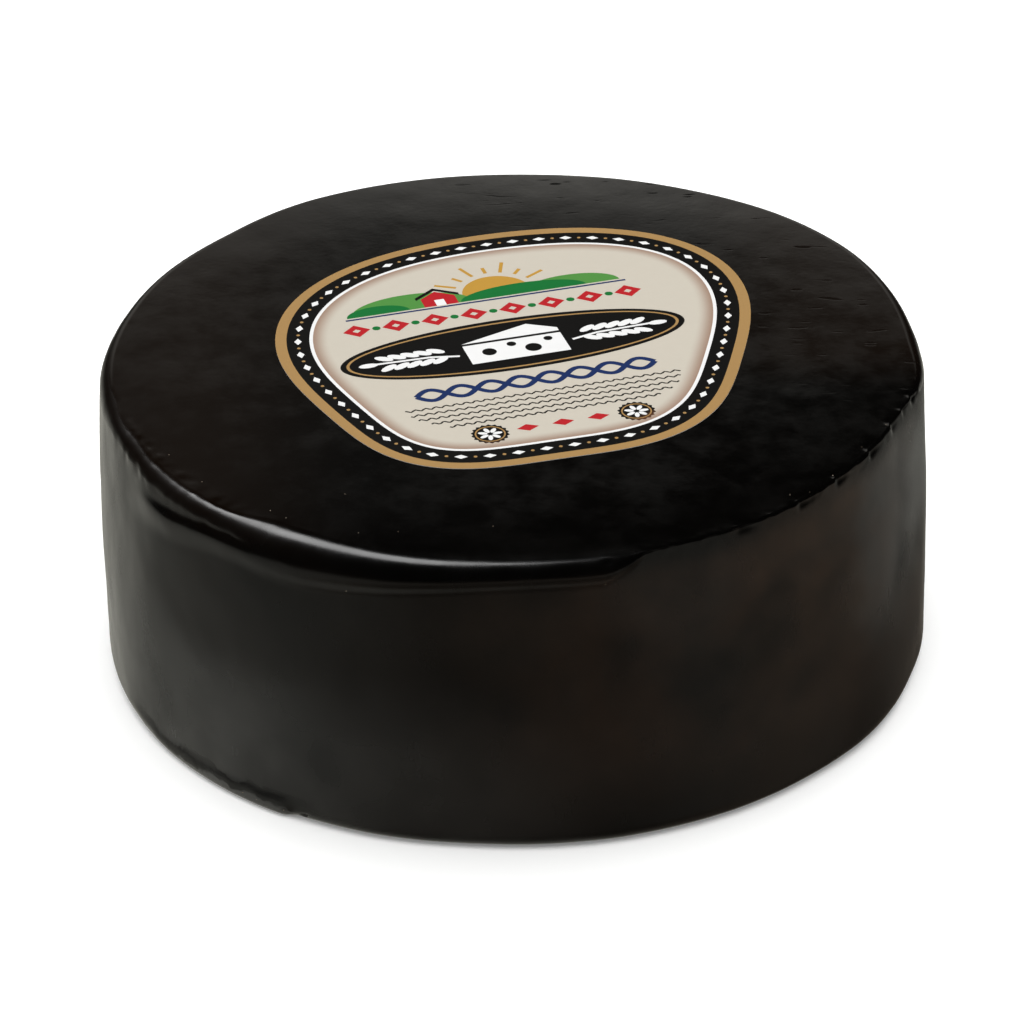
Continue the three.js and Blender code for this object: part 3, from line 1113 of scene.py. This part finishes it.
@dataclass
class Crumbs:
    """The few crumbs and grains that lie on the wax, as one piece."""

    wheel: bpy.types.Object
    rings: int = 5
    around: int = 9
    scale: float = 0.75
    flatness: float = 0.6
    narrowness: float = 0.8
    knobbly: float = 0.45
    sunk: float = 0.15
    crumbs: tuple[Crumb, ...] = (
        Crumb(-139.4, 152.1),
        Crumb(-119.4, 126.6, 0.5),
        Crumb(-126.4, 150.5, 0.7),
        Crumb(-123.4, 151.4, 0.45),
        Crumb(-148.8, 150.8, 0.6),
        Crumb(-107, 144.1, 0.5),
        Crumb(-93.2, 135.5, 0.5),
        Crumb(-112.3, 149.2, 0.55),
        Crumb(-48.6, 154, 0.6),
        Crumb(-46.1, 157.5, 0.45),
        Crumb(-40.5, 156, 0.7),
        Crumb(-31.6, 153.8, 0.5),
        Crumb(-24.2, 155, 0.5),
        Crumb(-111.9, 108.6, 0.5, on_top=False),
        Crumb(-78.4, 114, 0.5, on_top=False),
        Crumb(-129.4, 4.7, 0.7, on_top=False),
        Crumb(-127, 4.3, 0.5, on_top=False),
        Crumb(-122.7, 3.8, 0.7, on_top=False),
    )

    def build(self) -> bpy.types.Object:
        """Lays each crumb where its ray meets the wax.

        Returns:
            The finished piece.
        """
        wax = BVHTree.FromObject(self.wheel, bpy.context.evaluated_depsgraph_get())
        vertices, faces = [], []
        for number, crumb in enumerate(self.crumbs):
            spot, normal, _, _ = wax.ray_cast(*crumb.ray())
            lump = self.lump(self.scale * crumb.size, number, normal)
            first = number * len(lump)
            vertices.append(lump + np.array(spot) / MM)
            faces += [[first + corner for corner in face] for face in closed_faces(self.rings, self.around)]
        piece = add_piece("crumbs", np.concatenate(vertices), faces, smooth=False)
        piece.data.materials.append(CrumbFinish().material())
        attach(piece, BODY)
        return piece

    def lump(self, size: float, seed: int, normal: Vector) -> Array:
        """Shapes one crumb.

        Args:
            size: How wide it is.
            seed: A number that picks its shape.
            normal: The wax's normal under it.

        Returns:
            Its vertices round its spot: a ball whose radius is changed by noise, flattened, sunk a
            little, and stood upright on the wax.
        """
        tilt = np.radians(np.linspace(-90.0, 90.0, self.rings + 2))[1:-1, None]
        around = np.arange(self.around) * 360.0 / self.around
        ball = on_ring(np.cos(tilt), around, np.sin(tilt)).reshape(-1, 3)
        ball = np.concatenate([ball, [[0, 0, -1], [0, 0, 1]]])
        swollen = 1.0 + self.knobbly * soft_noise(ball + 7.3 * seed, 0.9, seed)[:, None]
        ball = ball * swollen * size / 2
        ball = ball * (1.0, self.narrowness, self.flatness) + (0.0, 0.0, self.sunk * size)
        return ball @ np.array(normal.to_track_quat("Z", "Y").to_matrix()).T


class Ink(Enum):
    """The printing inks, as linear colours."""

    TAN = srgb(176, 139, 86)
    BLACK = srgb(7, 6, 5)
    WHITE = srgb(250, 250, 249)
    CREAM = srgb(213, 205, 190)
    RED = srgb(192, 26, 36)
    GREEN = srgb(12, 118, 52)
    LEAF = srgb(84, 150, 68)
    NAVY = srgb(20, 46, 98)
    GOLD = srgb(200, 153, 60)


@dataclass(frozen=True)
class Motif:
    """One flat printed shape."""

    ink: Ink
    outline: Array


def turned(points: Array, degrees: float) -> Array:
    """Turns flat points about their origin, anticlockwise."""
    sine, cosine = math.sin(math.radians(degrees)), math.cos(math.radians(degrees))
    return points @ np.array([[cosine, sine], [-sine, cosine]])


def oval(
    ink: Ink,
    centre: Array | Span,
    radii: Span,
    sides: int,
    tilt: float = 0.0,
    sweep: float = 360.0,
) -> Motif:
    """Draws an ellipse, or the first part of one.

    Args:
        ink: Its ink.
        centre: Its middle.
        radii: Its two half axes.
        sides: How many corners it has: four make a lozenge.
        tilt: How far it is turned, in degrees.
        sweep: How much of it is drawn, in degrees: 180 makes a dome.

    Returns:
        The shape.
    """
    angle = np.radians(np.linspace(0.0, sweep, sides, endpoint=sweep < 360.0))
    flat = np.stack([radii[0] * np.cos(angle), radii[1] * np.sin(angle)], axis=-1)
    return Motif(ink, turned(flat, tilt) + centre)


def stroke(ink: Ink, path: Array, width: float) -> Motif:
    """Draws a line along a path.

    Args:
        ink: Its ink.
        path: The places that it passes.
        width: Its width.

    Returns:
        The shape, whose outline runs along the one side of the path and back along the other.
    """
    along = np.gradient(path, axis=0)
    along = along / np.linalg.norm(along, axis=1, keepdims=True)
    across = along[:, ::-1] * (-1.0, 1.0) * width / 2
    return Motif(ink, np.concatenate([path - across, (path + across)[::-1]]))


@dataclass
class PaperLabel:
    """The printed label: a rounded shield with a bordered field, and a countryside pattern in it."""

    bottom: float
    thickness: float = 0.18
    centre: Span = (8.1, -19.1)
    mean_radius: float = 94.7
    egg: float = 0.287
    oval: float = -0.038
    three_corner: float = 0.012
    four_corner: float = -0.047
    lean: float = 0.098
    turn: float = 14.4
    sides: int = 240
    black_from: float = 4.4
    line_from: float = 13.4
    field_from: float = 14.8
    shade_loops: tuple[float, ...] = (16.0, 17.5, 19.5, 22.0)
    art_turn: float = 16.0
    chain_pitch: float = 11.0

    def build(self) -> bpy.types.Object:
        """Builds and prints the label.

        Returns:
            The finished piece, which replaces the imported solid.
        """
        flat, faces, inks = self.printed()
        rim = self.inset(0.0)
        top = self.bottom + self.thickness
        layers = ((flat, top), (rim, top), (rim, self.bottom))
        levels = [np.column_stack([places, np.full(len(places), level)]) for places, level in layers]
        vertices = np.concatenate(levels)
        upper = len(flat) + np.arange(self.sides)
        lower = upper + self.sides
        walls = np.stack([lower, np.roll(lower, -1), np.roll(upper, -1), upper], axis=-1)
        all_faces = [*faces, *walls.tolist(), lower[::-1].tolist()]
        piece = add_piece("paper_label", vertices, all_faces, smooth=False)
        self.print_inks(piece.data, inks)
        insets = piece.data.attributes.new("inset", "FLOAT", "POINT")
        insets.data.foreach_set("value", self.inset_of(vertices[:, :2]))
        piece.data.materials.append(PaperFinish("ink", "inset", self.field_from).material())
        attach(piece, BODY)
        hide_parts("label")
        return piece

    @staticmethod
    def print_inks(mesh: bpy.types.Mesh, inks: Array) -> None:
        """Gives each printed face its ink. The walls and the underside stay white paper.

        Args:
            mesh: The label's mesh, whose printed faces come first.
            inks: One linear colour for each printed face.
        """
        sizes = np.empty(len(mesh.polygons), np.int64)
        mesh.polygons.foreach_get("loop_total", sizes)
        bare = np.tile(Ink.WHITE.value, (len(sizes) - len(inks), 1))
        colours = np.repeat(np.concatenate([inks, bare]), sizes, axis=0)
        layer = mesh.color_attributes.new("ink", "FLOAT_COLOR", "CORNER")
        layer.data.foreach_set("color", np.column_stack([colours, np.ones(len(colours))]).ravel())

    def inset(self, distance: float) -> Array:
        """Gives the label's outline, drawn in by a distance.

        Args:
            distance: How far inside the edge, in millimetres.

        Returns:
            Its corners in the wheel's frame. The edge is a circle changed by four low waves, slanted and
            turned, and each corner moves in at right angles to it.
        """
        angle = np.radians(np.arange(self.sides) * 360.0 / self.sides)
        radius = 1.0 + self.egg * np.sin(angle) + self.oval * np.cos(2 * angle)
        radius += self.three_corner * np.sin(3 * angle) + self.four_corner * np.cos(4 * angle)
        radius *= self.mean_radius
        edge = np.stack([radius * np.cos(angle), radius * np.sin(angle)], axis=-1)
        edge[:, 0] += self.lean * edge[:, 1]
        edge = turned(edge, self.turn) + self.centre
        along = np.roll(edge, -1, axis=0) - np.roll(edge, 1, axis=0)
        along = along / np.linalg.norm(along, axis=1, keepdims=True)
        return edge + along[:, ::-1] * (-1.0, 1.0) * distance

    def inset_of(self, points: Array) -> Array:
        """Measures how far inside the label's edge points lie.

        Args:
            points: Flat places in the wheel's frame.

        Returns:
            The distance from each to the nearest side of the outline.
        """
        start = self.inset(0.0)
        side = np.roll(start, -1, axis=0) - start
        offset = points[:, None, :] - start
        share = np.clip((offset * side).sum(-1) / (side * side).sum(-1), 0.0, 1.0)
        return np.linalg.norm(offset - share[..., None] * side, axis=-1).min(axis=1)

    def printed(self) -> tuple[Array, list[list[int]], Array]:
        """Divides the face of the label along the outline of every motif.

        Returns:
            The flat vertices, the triangles, and the ink of each triangle: that of the motif which was
            printed last over it.
        """
        motifs = [*self.borders(), *self.chain()]
        for drawing in (self.landscape(), self.rows(), self.plaque(), self.waves(), self.rosettes()):
            motifs += [Motif(one.ink, turned(one.outline, self.art_turn) + self.centre) for one in drawing]
        corners, loops = [], []
        for motif in motifs:
            shifted = np.roll(motif.outline, -1, axis=0)
            area = (motif.outline[:, 0] * shifted[:, 1] - shifted[:, 0] * motif.outline[:, 1]).sum()
            outline = motif.outline if area > 0 else motif.outline[::-1]
            loops.append(list(range(len(corners), len(corners) + len(outline))))
            corners += [Vector(corner) for corner in outline]
        found = delaunay_2d_cdt(corners, [], loops, 1, 1e-5, True)
        flat = np.array([[*corner] for corner in found[0]])
        printed = [(list(face), max(over)) for face, over in zip(found[2], found[5]) if over]
        inks = np.array([motifs[last].ink.value for _, last in printed])
        return flat, [face for face, _ in printed], inks

    def borders(self) -> list[Motif]:
        """Prints the tan edge, the black ring, the white line and the cream field.

        Returns:
            The shapes, with further cream ones inside, which give the shade its corners.
        """
        edges = ((Ink.TAN, 0.0), (Ink.BLACK, self.black_from), (Ink.WHITE, self.line_from))
        fields = [(Ink.CREAM, distance) for distance in (self.field_from, *self.shade_loops)]
        return [Motif(ink, self.inset(distance)) for ink, distance in (*edges, *fields)]

    def chain(self) -> list[Motif]:
        """Prints a chain of white lozenges and tan dots in the black ring, evenly spaced along it.

        Returns:
            The shapes.
        """
        ring = self.inset((self.black_from + self.line_from) / 2)
        closed = np.concatenate([ring, ring[:1]])
        along = np.concatenate([[0.0], np.cumsum(np.linalg.norm(np.diff(closed, axis=0), axis=1))])
        count = 2 * round(along[-1] / self.chain_pitch)
        place = along[-1] * np.arange(count) / count
        spots = np.stack([np.interp(place, along, closed[:, axis]) for axis in (0, 1)], axis=-1)
        ahead = np.roll(spots, -1, axis=0) - np.roll(spots, 1, axis=0)
        slants = np.degrees(np.arctan2(ahead[:, 1], ahead[:, 0]))
        chain = [oval(Ink.TAN, spot, (0.75, 0.75), 8) for spot in spots[1::2]]
        for spot, slant in zip(spots[::2], slants[::2]):
            chain.append(oval(Ink.WHITE, spot, (2.6, 1.5), 4, slant))
        return chain

    @staticmethod
    def landscape() -> list[Motif]:
        """Prints a rising sun over green hills with a small red barn, on a thin navy rule.

        Returns:
            The shapes.
        """
        ground = 65.0
        sun = (6.0, ground + 4.0)
        drawing = []
        for angle in np.arange(10.0, 171.0, 20.0):
            ray = np.array([[17.0, 0.0], [26.0 if angle % 40.0 > 20.0 else 22.0, 0.0]])
            drawing.append(stroke(Ink.GOLD, turned(ray, angle) + sun, 1.5))
        drawing.append(oval(Ink.GOLD, sun, (14.0, 14.0), 30, sweep=180.0))
        hills = ((Ink.LEAF, -30.0, 25.0, 13.0, 26), (Ink.LEAF, 36.0, 20.0, 10.0, 26))
        hills += ((Ink.GREEN, 16.0, 26.0, 9.0, 26), (Ink.GREEN, -44.0, 13.0, 7.0, 20))
        for ink, place, half, height, sides in hills:
            drawing.append(oval(ink, (place, ground), (half, height), sides, sweep=180.0))
        walls = np.array([[-25.0, 0.0], [-11.0, 0.0], [-11.0, 7.0], [-18.0, 12.0], [-25.0, 7.0]])
        roof = np.array([[-27.0, 6.5], [-18.0, 12.8], [-9.0, 6.5], [-9.0, 8.6], [-18.0, 15.0], [-27.0, 8.6]])
        door = np.array([[-20.0, 0.0], [-16.0, 0.0], [-16.0, 5.0], [-20.0, 5.0]])
        for ink, outline in ((Ink.RED, walls), (Ink.BLACK, roof), (Ink.WHITE, door)):
            drawing.append(Motif(ink, outline + (0.0, ground)))
        rule = np.array([[-58.0, ground - 1.5], [58.0, ground - 1.5]])
        return [*drawing, stroke(Ink.NAVY, rule, 1.2)]

    @staticmethod
    def rows() -> list[Motif]:
        """Prints a row of red lozenges with green dots between them, and a short row near the foot.

        Returns:
            The shapes.
        """
        row, foot_row = 54.0, -41.0
        drawing = []
        for place in np.arange(-56.0, 57.0, 16.0):
            drawing.append(oval(Ink.RED, (place, row), (5.6, 5.0), 4))
            drawing.append(oval(Ink.CREAM, (place, row), (1.7, 1.5), 4))
        drawing += [oval(Ink.GREEN, (place, row), (1.7, 1.7), 12) for place in np.arange(-48.0, 49.0, 16.0)]
        return drawing + [oval(Ink.RED, (place, foot_row), (4.4, 2.6), 4) for place in (-14.0, 0.0, 14.0)]

    def plaque(self) -> list[Motif]:
        """Prints a black oval with a tan line inside it, and in it a wedge of cheese between ears of wheat.

        Returns:
            The shapes.
        """
        middle = (0.0, 25.0)
        rings = ((Ink.BLACK, (70.0, 21.0)), (Ink.TAN, (67.6, 18.9)), (Ink.BLACK, (66.4, 17.9)))
        drawing = [oval(ink, middle, radii, 80) for ink, radii in rings]
        top = np.array([[-20.0, 5.4], [9.0, 14.5], [20.0, 8.0], [20.0, 5.4]])
        face = np.array([[-20.0, 3.8], [20.0, 3.8], [20.0, -11.5], [-20.0, -11.5]])
        drawing += [Motif(Ink.WHITE, shape + middle) for shape in (top, face)]
        for place, size in (((-11.0, -3.5), 2.9), ((-1.0, 0.2), 1.9), ((6.5, -5.0), 3.3), ((14.0, 0.4), 1.8)):
            drawing.append(oval(Ink.BLACK, np.add(place, middle), (size, size), 18))
        return drawing + self.wheat(middle, 1.0) + self.wheat(middle, -1.0)

    @staticmethod
    def wheat(middle: Span, side: float) -> list[Motif]:
        """Prints an ear of wheat lying along the plaque: pairs of grains on a stem, pointing outwards.

        Args:
            middle: The plaque's middle.
            side: 1 for the ear at the right, -1 for the one at the left.

        Returns:
            The shapes.
        """
        grain, grain_tilt = (3.9, 1.75), 30.0
        stem = np.array([[side * 23.0, -3.4], [side * 34.0, -0.8], [side * 56.0, 0.0]]) + middle
        ear = [stroke(Ink.WHITE, stem, 1.3)]
        for place in np.arange(31.0, 55.0, 5.2):
            for up in (1.0, -1.0):
                spot = np.add(middle, (side * place, up * 3.9 - 0.4))
                ear.append(oval(Ink.WHITE, spot, grain, 12, side * up * grain_tilt))
        return [*ear, oval(Ink.WHITE, np.add(middle, (side * 59.0, -0.2)), grain, 12)]

    @staticmethod
    def waves() -> list[Motif]:
        """Prints two navy ribbons that cross each other, and below them fine dark waves.

        Returns:
            The shapes.
        """
        drawing = []
        run = np.linspace(-48.0, 48.0, 97)
        for swing in (4.2, -4.2):
            path = np.stack([run, -5.5 + swing * np.sin(run * math.tau / 24.0)], axis=-1)
            drawing.append(stroke(Ink.NAVY, path, 2.5))
        for row, half in enumerate((55.0, 54.0, 52.0, 48.0, 42.0)):
            run = np.linspace(-half, half, 109)
            path = np.stack([run, -15.5 - 4.0 * row + 0.7 * np.sin(run * math.tau / 4.0)], axis=-1)
            drawing.append(stroke(Ink.BLACK, path, 0.85))
        return drawing

    @staticmethod
    def rosettes() -> list[Motif]:
        """Prints two black scalloped discs with a tan ring, and in each a white flower of seven petals.

        Returns:
            The shapes.
        """
        drawing = []
        around = np.radians(np.arange(0.0, 360.0, 5.0))
        edge = 7.0 + 0.45 * np.cos(18.0 * around)
        disc = np.stack([edge * np.cos(around), edge * np.sin(around)], axis=-1)
        for place in (-29.0, 29.0):
            middle = np.array([place, -41.5])
            drawing.append(Motif(Ink.BLACK, disc + middle))
            drawing += [oval(Ink.TAN, middle, (5.9, 5.9), 30), oval(Ink.BLACK, middle, (5.3, 5.3), 30)]
            for angle in np.arange(7) * 360.0 / 7:
                spot = turned(np.array([2.9, 0.0]), angle) + middle
                drawing.append(oval(Ink.WHITE, spot, (1.9, 0.95), 10, angle))
        return drawing


@dataclass(frozen=True)
class Mirrored:
    """The way that a ray takes into the surroundings, by its three parts."""

    across: Wire
    along: Wire
    up: Wire


@dataclass(frozen=True)
class Studio:
    """The floor, the soft lights and the camera."""

    focal_pixels: float = 4500.0
    picture_pixels: int = 1024
    sensor: float = 36.0
    distance: float = 1.7881
    pitch: float = 29.978
    roll: float = -0.929
    shift_pixels: Span = (-1.25, -23.3)
    floor_size: float = 9.0
    floor_colour: Colour = (0.95, 0.95, 0.94)
    floor_glow: float = 0.12
    even_light: Colour = (0.62, 0.62, 0.62)
    seen_light: Colour = (0.94, 0.94, 0.94)
    side_grey: Colour = (0.62, 0.61, 0.54)
    side_brown: Colour = (0.66, 0.55, 0.44)
    front_brown: Colour = (0.46, 0.39, 0.31)
    dark: Colour = (0.003, 0.003, 0.003)
    bright: Colour = (1.3, 1.26, 1.17)

    def build(self, middle: Vector) -> None:
        """Sets up the camera, the floor, the surroundings and the lamps.

        Args:
            middle: The middle of the wheel, in metres.
        """
        self.camera(middle)
        self.floor()
        self.surroundings()
        self.lamps()

    def camera(self, middle: Vector) -> None:
        """Places the camera at the photograph's viewing angle: pitched down, and rolled very slightly.

        Args:
            middle: The middle of the wheel, in metres.
        """
        pitch = math.radians(self.pitch)
        forward = Vector((0.0, math.cos(pitch), -math.sin(pitch)))
        right = Vector((1.0, 0.0, 0.0))
        rolled = Matrix.Rotation(math.radians(-self.roll), 3, forward)
        axes = Matrix((rolled @ right, rolled @ right.cross(forward), -forward)).transposed()
        data = bpy.data.cameras.new("camera")
        data.sensor_width = self.sensor
        data.lens = self.focal_pixels / self.picture_pixels * self.sensor
        data.shift_x, data.shift_y = (pixels / self.picture_pixels for pixels in self.shift_pixels)
        data.clip_end = 60.0
        camera = bpy.data.objects.new("camera", data)
        camera.matrix_world = Matrix.Translation(middle - forward * self.distance) @ axes.to_4x4()
        bpy.context.scene.collection.objects.link(camera)
        bpy.context.scene.camera = camera

    def floor(self) -> None:
        """Lays the plain pale floor, lit faintly from below. The wax doesn't mirror it."""
        half = self.floor_size / 2 / MM
        corners = np.array([[-half, -half, 0], [half, -half, 0], [half, half, 0], [-half, half, 0]])
        floor = add_piece("floor", corners, [[0, 1, 2, 3]], smooth=False)
        material, bench = new_material("pale_floor")
        inputs = {
            "Base Color": (*self.floor_colour, 1.0),
            "Roughness": 0.9,
            "Specular IOR Level": 0.1,
            "Emission Color": (1.0, 1.0, 1.0, 1.0),
            "Emission Strength": self.floor_glow,
        }
        bench.finish(bench.wire("ShaderNodeBsdfPrincipled", 0, {}, inputs))
        floor.data.materials.append(material)
        floor.visible_glossy = False

    def surroundings(self) -> None:
        """Paints the surroundings: pale to the eye, even to plain surfaces, and a soft studio to the wax."""
        world = bpy.data.worlds.new("studio")
        bpy.context.scene.world = world
        world.use_nodes = True
        bench = Bench(world.node_tree)
        way = Mirrored(*bench.axes(bench.wire("ShaderNodeTexCoord", "Generated")))
        high = bench.blend(self.backdrop(way), self.dark, self.bright)
        seen = bench.blend(self.low_level(way), high, self.low_colour(bench, way))
        lights = ((*self.even_light, 1.0), seen, (*self.seen_light, 1.0))
        even, soft, pale = (bench.wire("ShaderNodeBackground", 0, {}, {"Color": light}) for light in lights)
        rays = bench.node("ShaderNodeLightPath").outputs
        mirrored = bench.mix_shaders(Wire(bench, rays["Is Glossy Ray"]), even, soft)
        bench.finish(bench.mix_shaders(Wire(bench, rays["Is Camera Ray"]), mirrored, pale), "World")

    def low_colour(self, bench: Bench, way: Mirrored) -> Wire:
        """Gives the colour of the table that the wax mirrors.

        Args:
            bench: The bench of the world's tree.
            way: The ray's way.

        Returns:
            The colour: greyer at the left, browner at the right and in front.
        """
        brown = way.across.rise(0.05, 0.4) * way.along.rise(-0.6, -0.2)
        brown = brown * (1.0 - way.along.rise(0.1, 0.5) * way.up.rise(-0.53, -0.47))
        aside = bench.blend(brown, self.side_grey, self.side_brown)
        return bench.blend(self.in_front(way), aside, self.front_brown)

    @staticmethod
    def in_front(way: Mirrored) -> Wire:
        """A mask of what is mirrored straight in front."""
        aside = way.across.bench.maths("ABSOLUTE", way.across, 0.0).rise(0.15, 0.8)
        return (1.0 - aside) * (1.0 - way.along.rise(-0.4, 0.1))

    def low_level(self, way: Mirrored) -> Wire:
        """Gives how bright the table is that the wax mirrors.

        Args:
            way: The ray's way.

        Returns:
            The brightness, 0 above the horizon: it is dimmed piece by piece, low at the right, in a gap
            at the left and in front, and lifted in a low band at the far right.
        """
        across, along, up = way.across, way.along, way.up
        right = across.rise(0.05, 0.4)
        right_low = right * along.rise(-0.1, 0.3) * (1.0 - up.rise(-0.49, -0.4))
        right_edge = along.rise(0.6, 0.82) * up.rise(-0.46, -0.41) * (1.0 - up.rise(-0.39, -0.35))
        right_front = right * (0.4 - 0.55 * up.rise(-0.49, -0.43)) * (1.0 - along.rise(0.2, 0.5))
        left_gap = (1.0 - across.rise(-0.4, -0.2)) * along.rise(0.2, 0.4) * (1.0 - along.rise(0.52, 0.7))
        level = (0.8 + 0.2 * along.rise(0.2, 0.85)) * (1.0 - 0.65 * right_low) * (1.0 - 0.3 * left_gap)
        level = level * (1.0 - right_front)
        level = level * (1.0 - 0.4 * self.in_front(way) * (1.0 - up.rise(-0.56, -0.5)))
        level = level * (0.7 + 0.3 * up.rise(-0.85, -0.62)) * (1.0 - 0.5 * right * along.rise(0.2, 0.5))
        level = level * (1.0 + 1.1 * right * right_edge)
        return level * (1.0 - up.rise(-0.38, -0.1))

    @staticmethod
    def backdrop(way: Mirrored) -> Wire:
        """Gives how bright the backdrop is that the top mirrors.

        Args:
            way: The ray's way.

        Returns:
            The brightness: a glare, higher at the right, with a glow above it, in the middle at the back.
        """
        across, along, up = way.across, way.along, way.up
        glare = (0.34 + 0.39 * across.rise(-0.08, 0.02)) * (1.0 - up.rise(0.39, 0.47))
        glow = 0.04 * (1.0 - up.rise(0.42, 0.5))
        left_glow = 0.07 * (1.0 - across.rise(-0.1, 0.03)) * up.rise(0.42, 0.5) * (1.0 - up.rise(0.5, 0.6))
        centred = (1.0 - 0.4 * across.rise(0.03, 0.07)) * (1.0 - across.rise(0.1, 0.4))
        centred = centred * across.rise(-0.5, -0.2)
        return along.rise(0.1, 0.6) * up.rise(-0.05, 0.15) * (glare + glow + left_glow) * centred

    def lamps(self) -> None:
        """Hangs the lamps: one that lights floor and paper, and two softboxes that only the gloss shows."""
        self.lamp("overhead", (0.0, 0.2, 2.4), (0, 0, 0), (3.6, 3.6), 95.0, gloss=False)
        self.lamp("rim_box", (-0.39, 0.15, 1.25), (-0.08, -0.14, 0.12), (0.52, 0.9), 19.8, gloss=True)
        self.lamp("left_box", (-0.80, 0.58, 1.25), (-0.12, -0.10, 0.12), (0.30, 0.40), 3.5, gloss=True)

    @staticmethod
    def lamp(
        name: str,
        place: Place,
        target: Place,
        size: Span,
        power: float,
        gloss: bool,
    ) -> None:
        """Hangs one flat lamp.

        Args:
            name: Its name.
            place: Where its middle is.
            target: The point that it faces.
            size: Its width and height in metres.
            power: Its power in watts.
            gloss: Whether it shows only in gloss, rather than only as plain light.
        """
        data = bpy.data.lights.new(name, "AREA")
        data.shape = "RECTANGLE"
        data.size, data.size_y = size
        data.energy = power
        lamp = bpy.data.objects.new(name, data)
        lamp.location = place
        lamp.rotation_euler = (Vector(target) - Vector(place)).to_track_quat("-Z", "Y").to_euler()
        lamp.visible_camera = False
        lamp.visible_glossy = gloss
        lamp.visible_diffuse = not gloss
        bpy.context.scene.collection.objects.link(lamp)


def main() -> None:
    """Builds the pieces in order, and reports each of them."""
    logging.basicConfig(level=logging.INFO, format="%(message)s")
    bpy.context.scene.view_settings.view_transform = "Standard"
    low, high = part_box("wheel")
    Studio().build((low + high) / 2 * Vector((0, 0, 1)))
    wheel = WaxedWheel(height=high.z / MM).build()
    label = PaperLabel(bottom=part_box("label")[0].z / MM).build()
    crumbs = Crumbs(wheel).build()
    for piece in (wheel, label, crumbs):
        LOG.info("%s: %d faces", piece.name, len(piece.data.polygons))


if __name__ == "__main__":
    main()
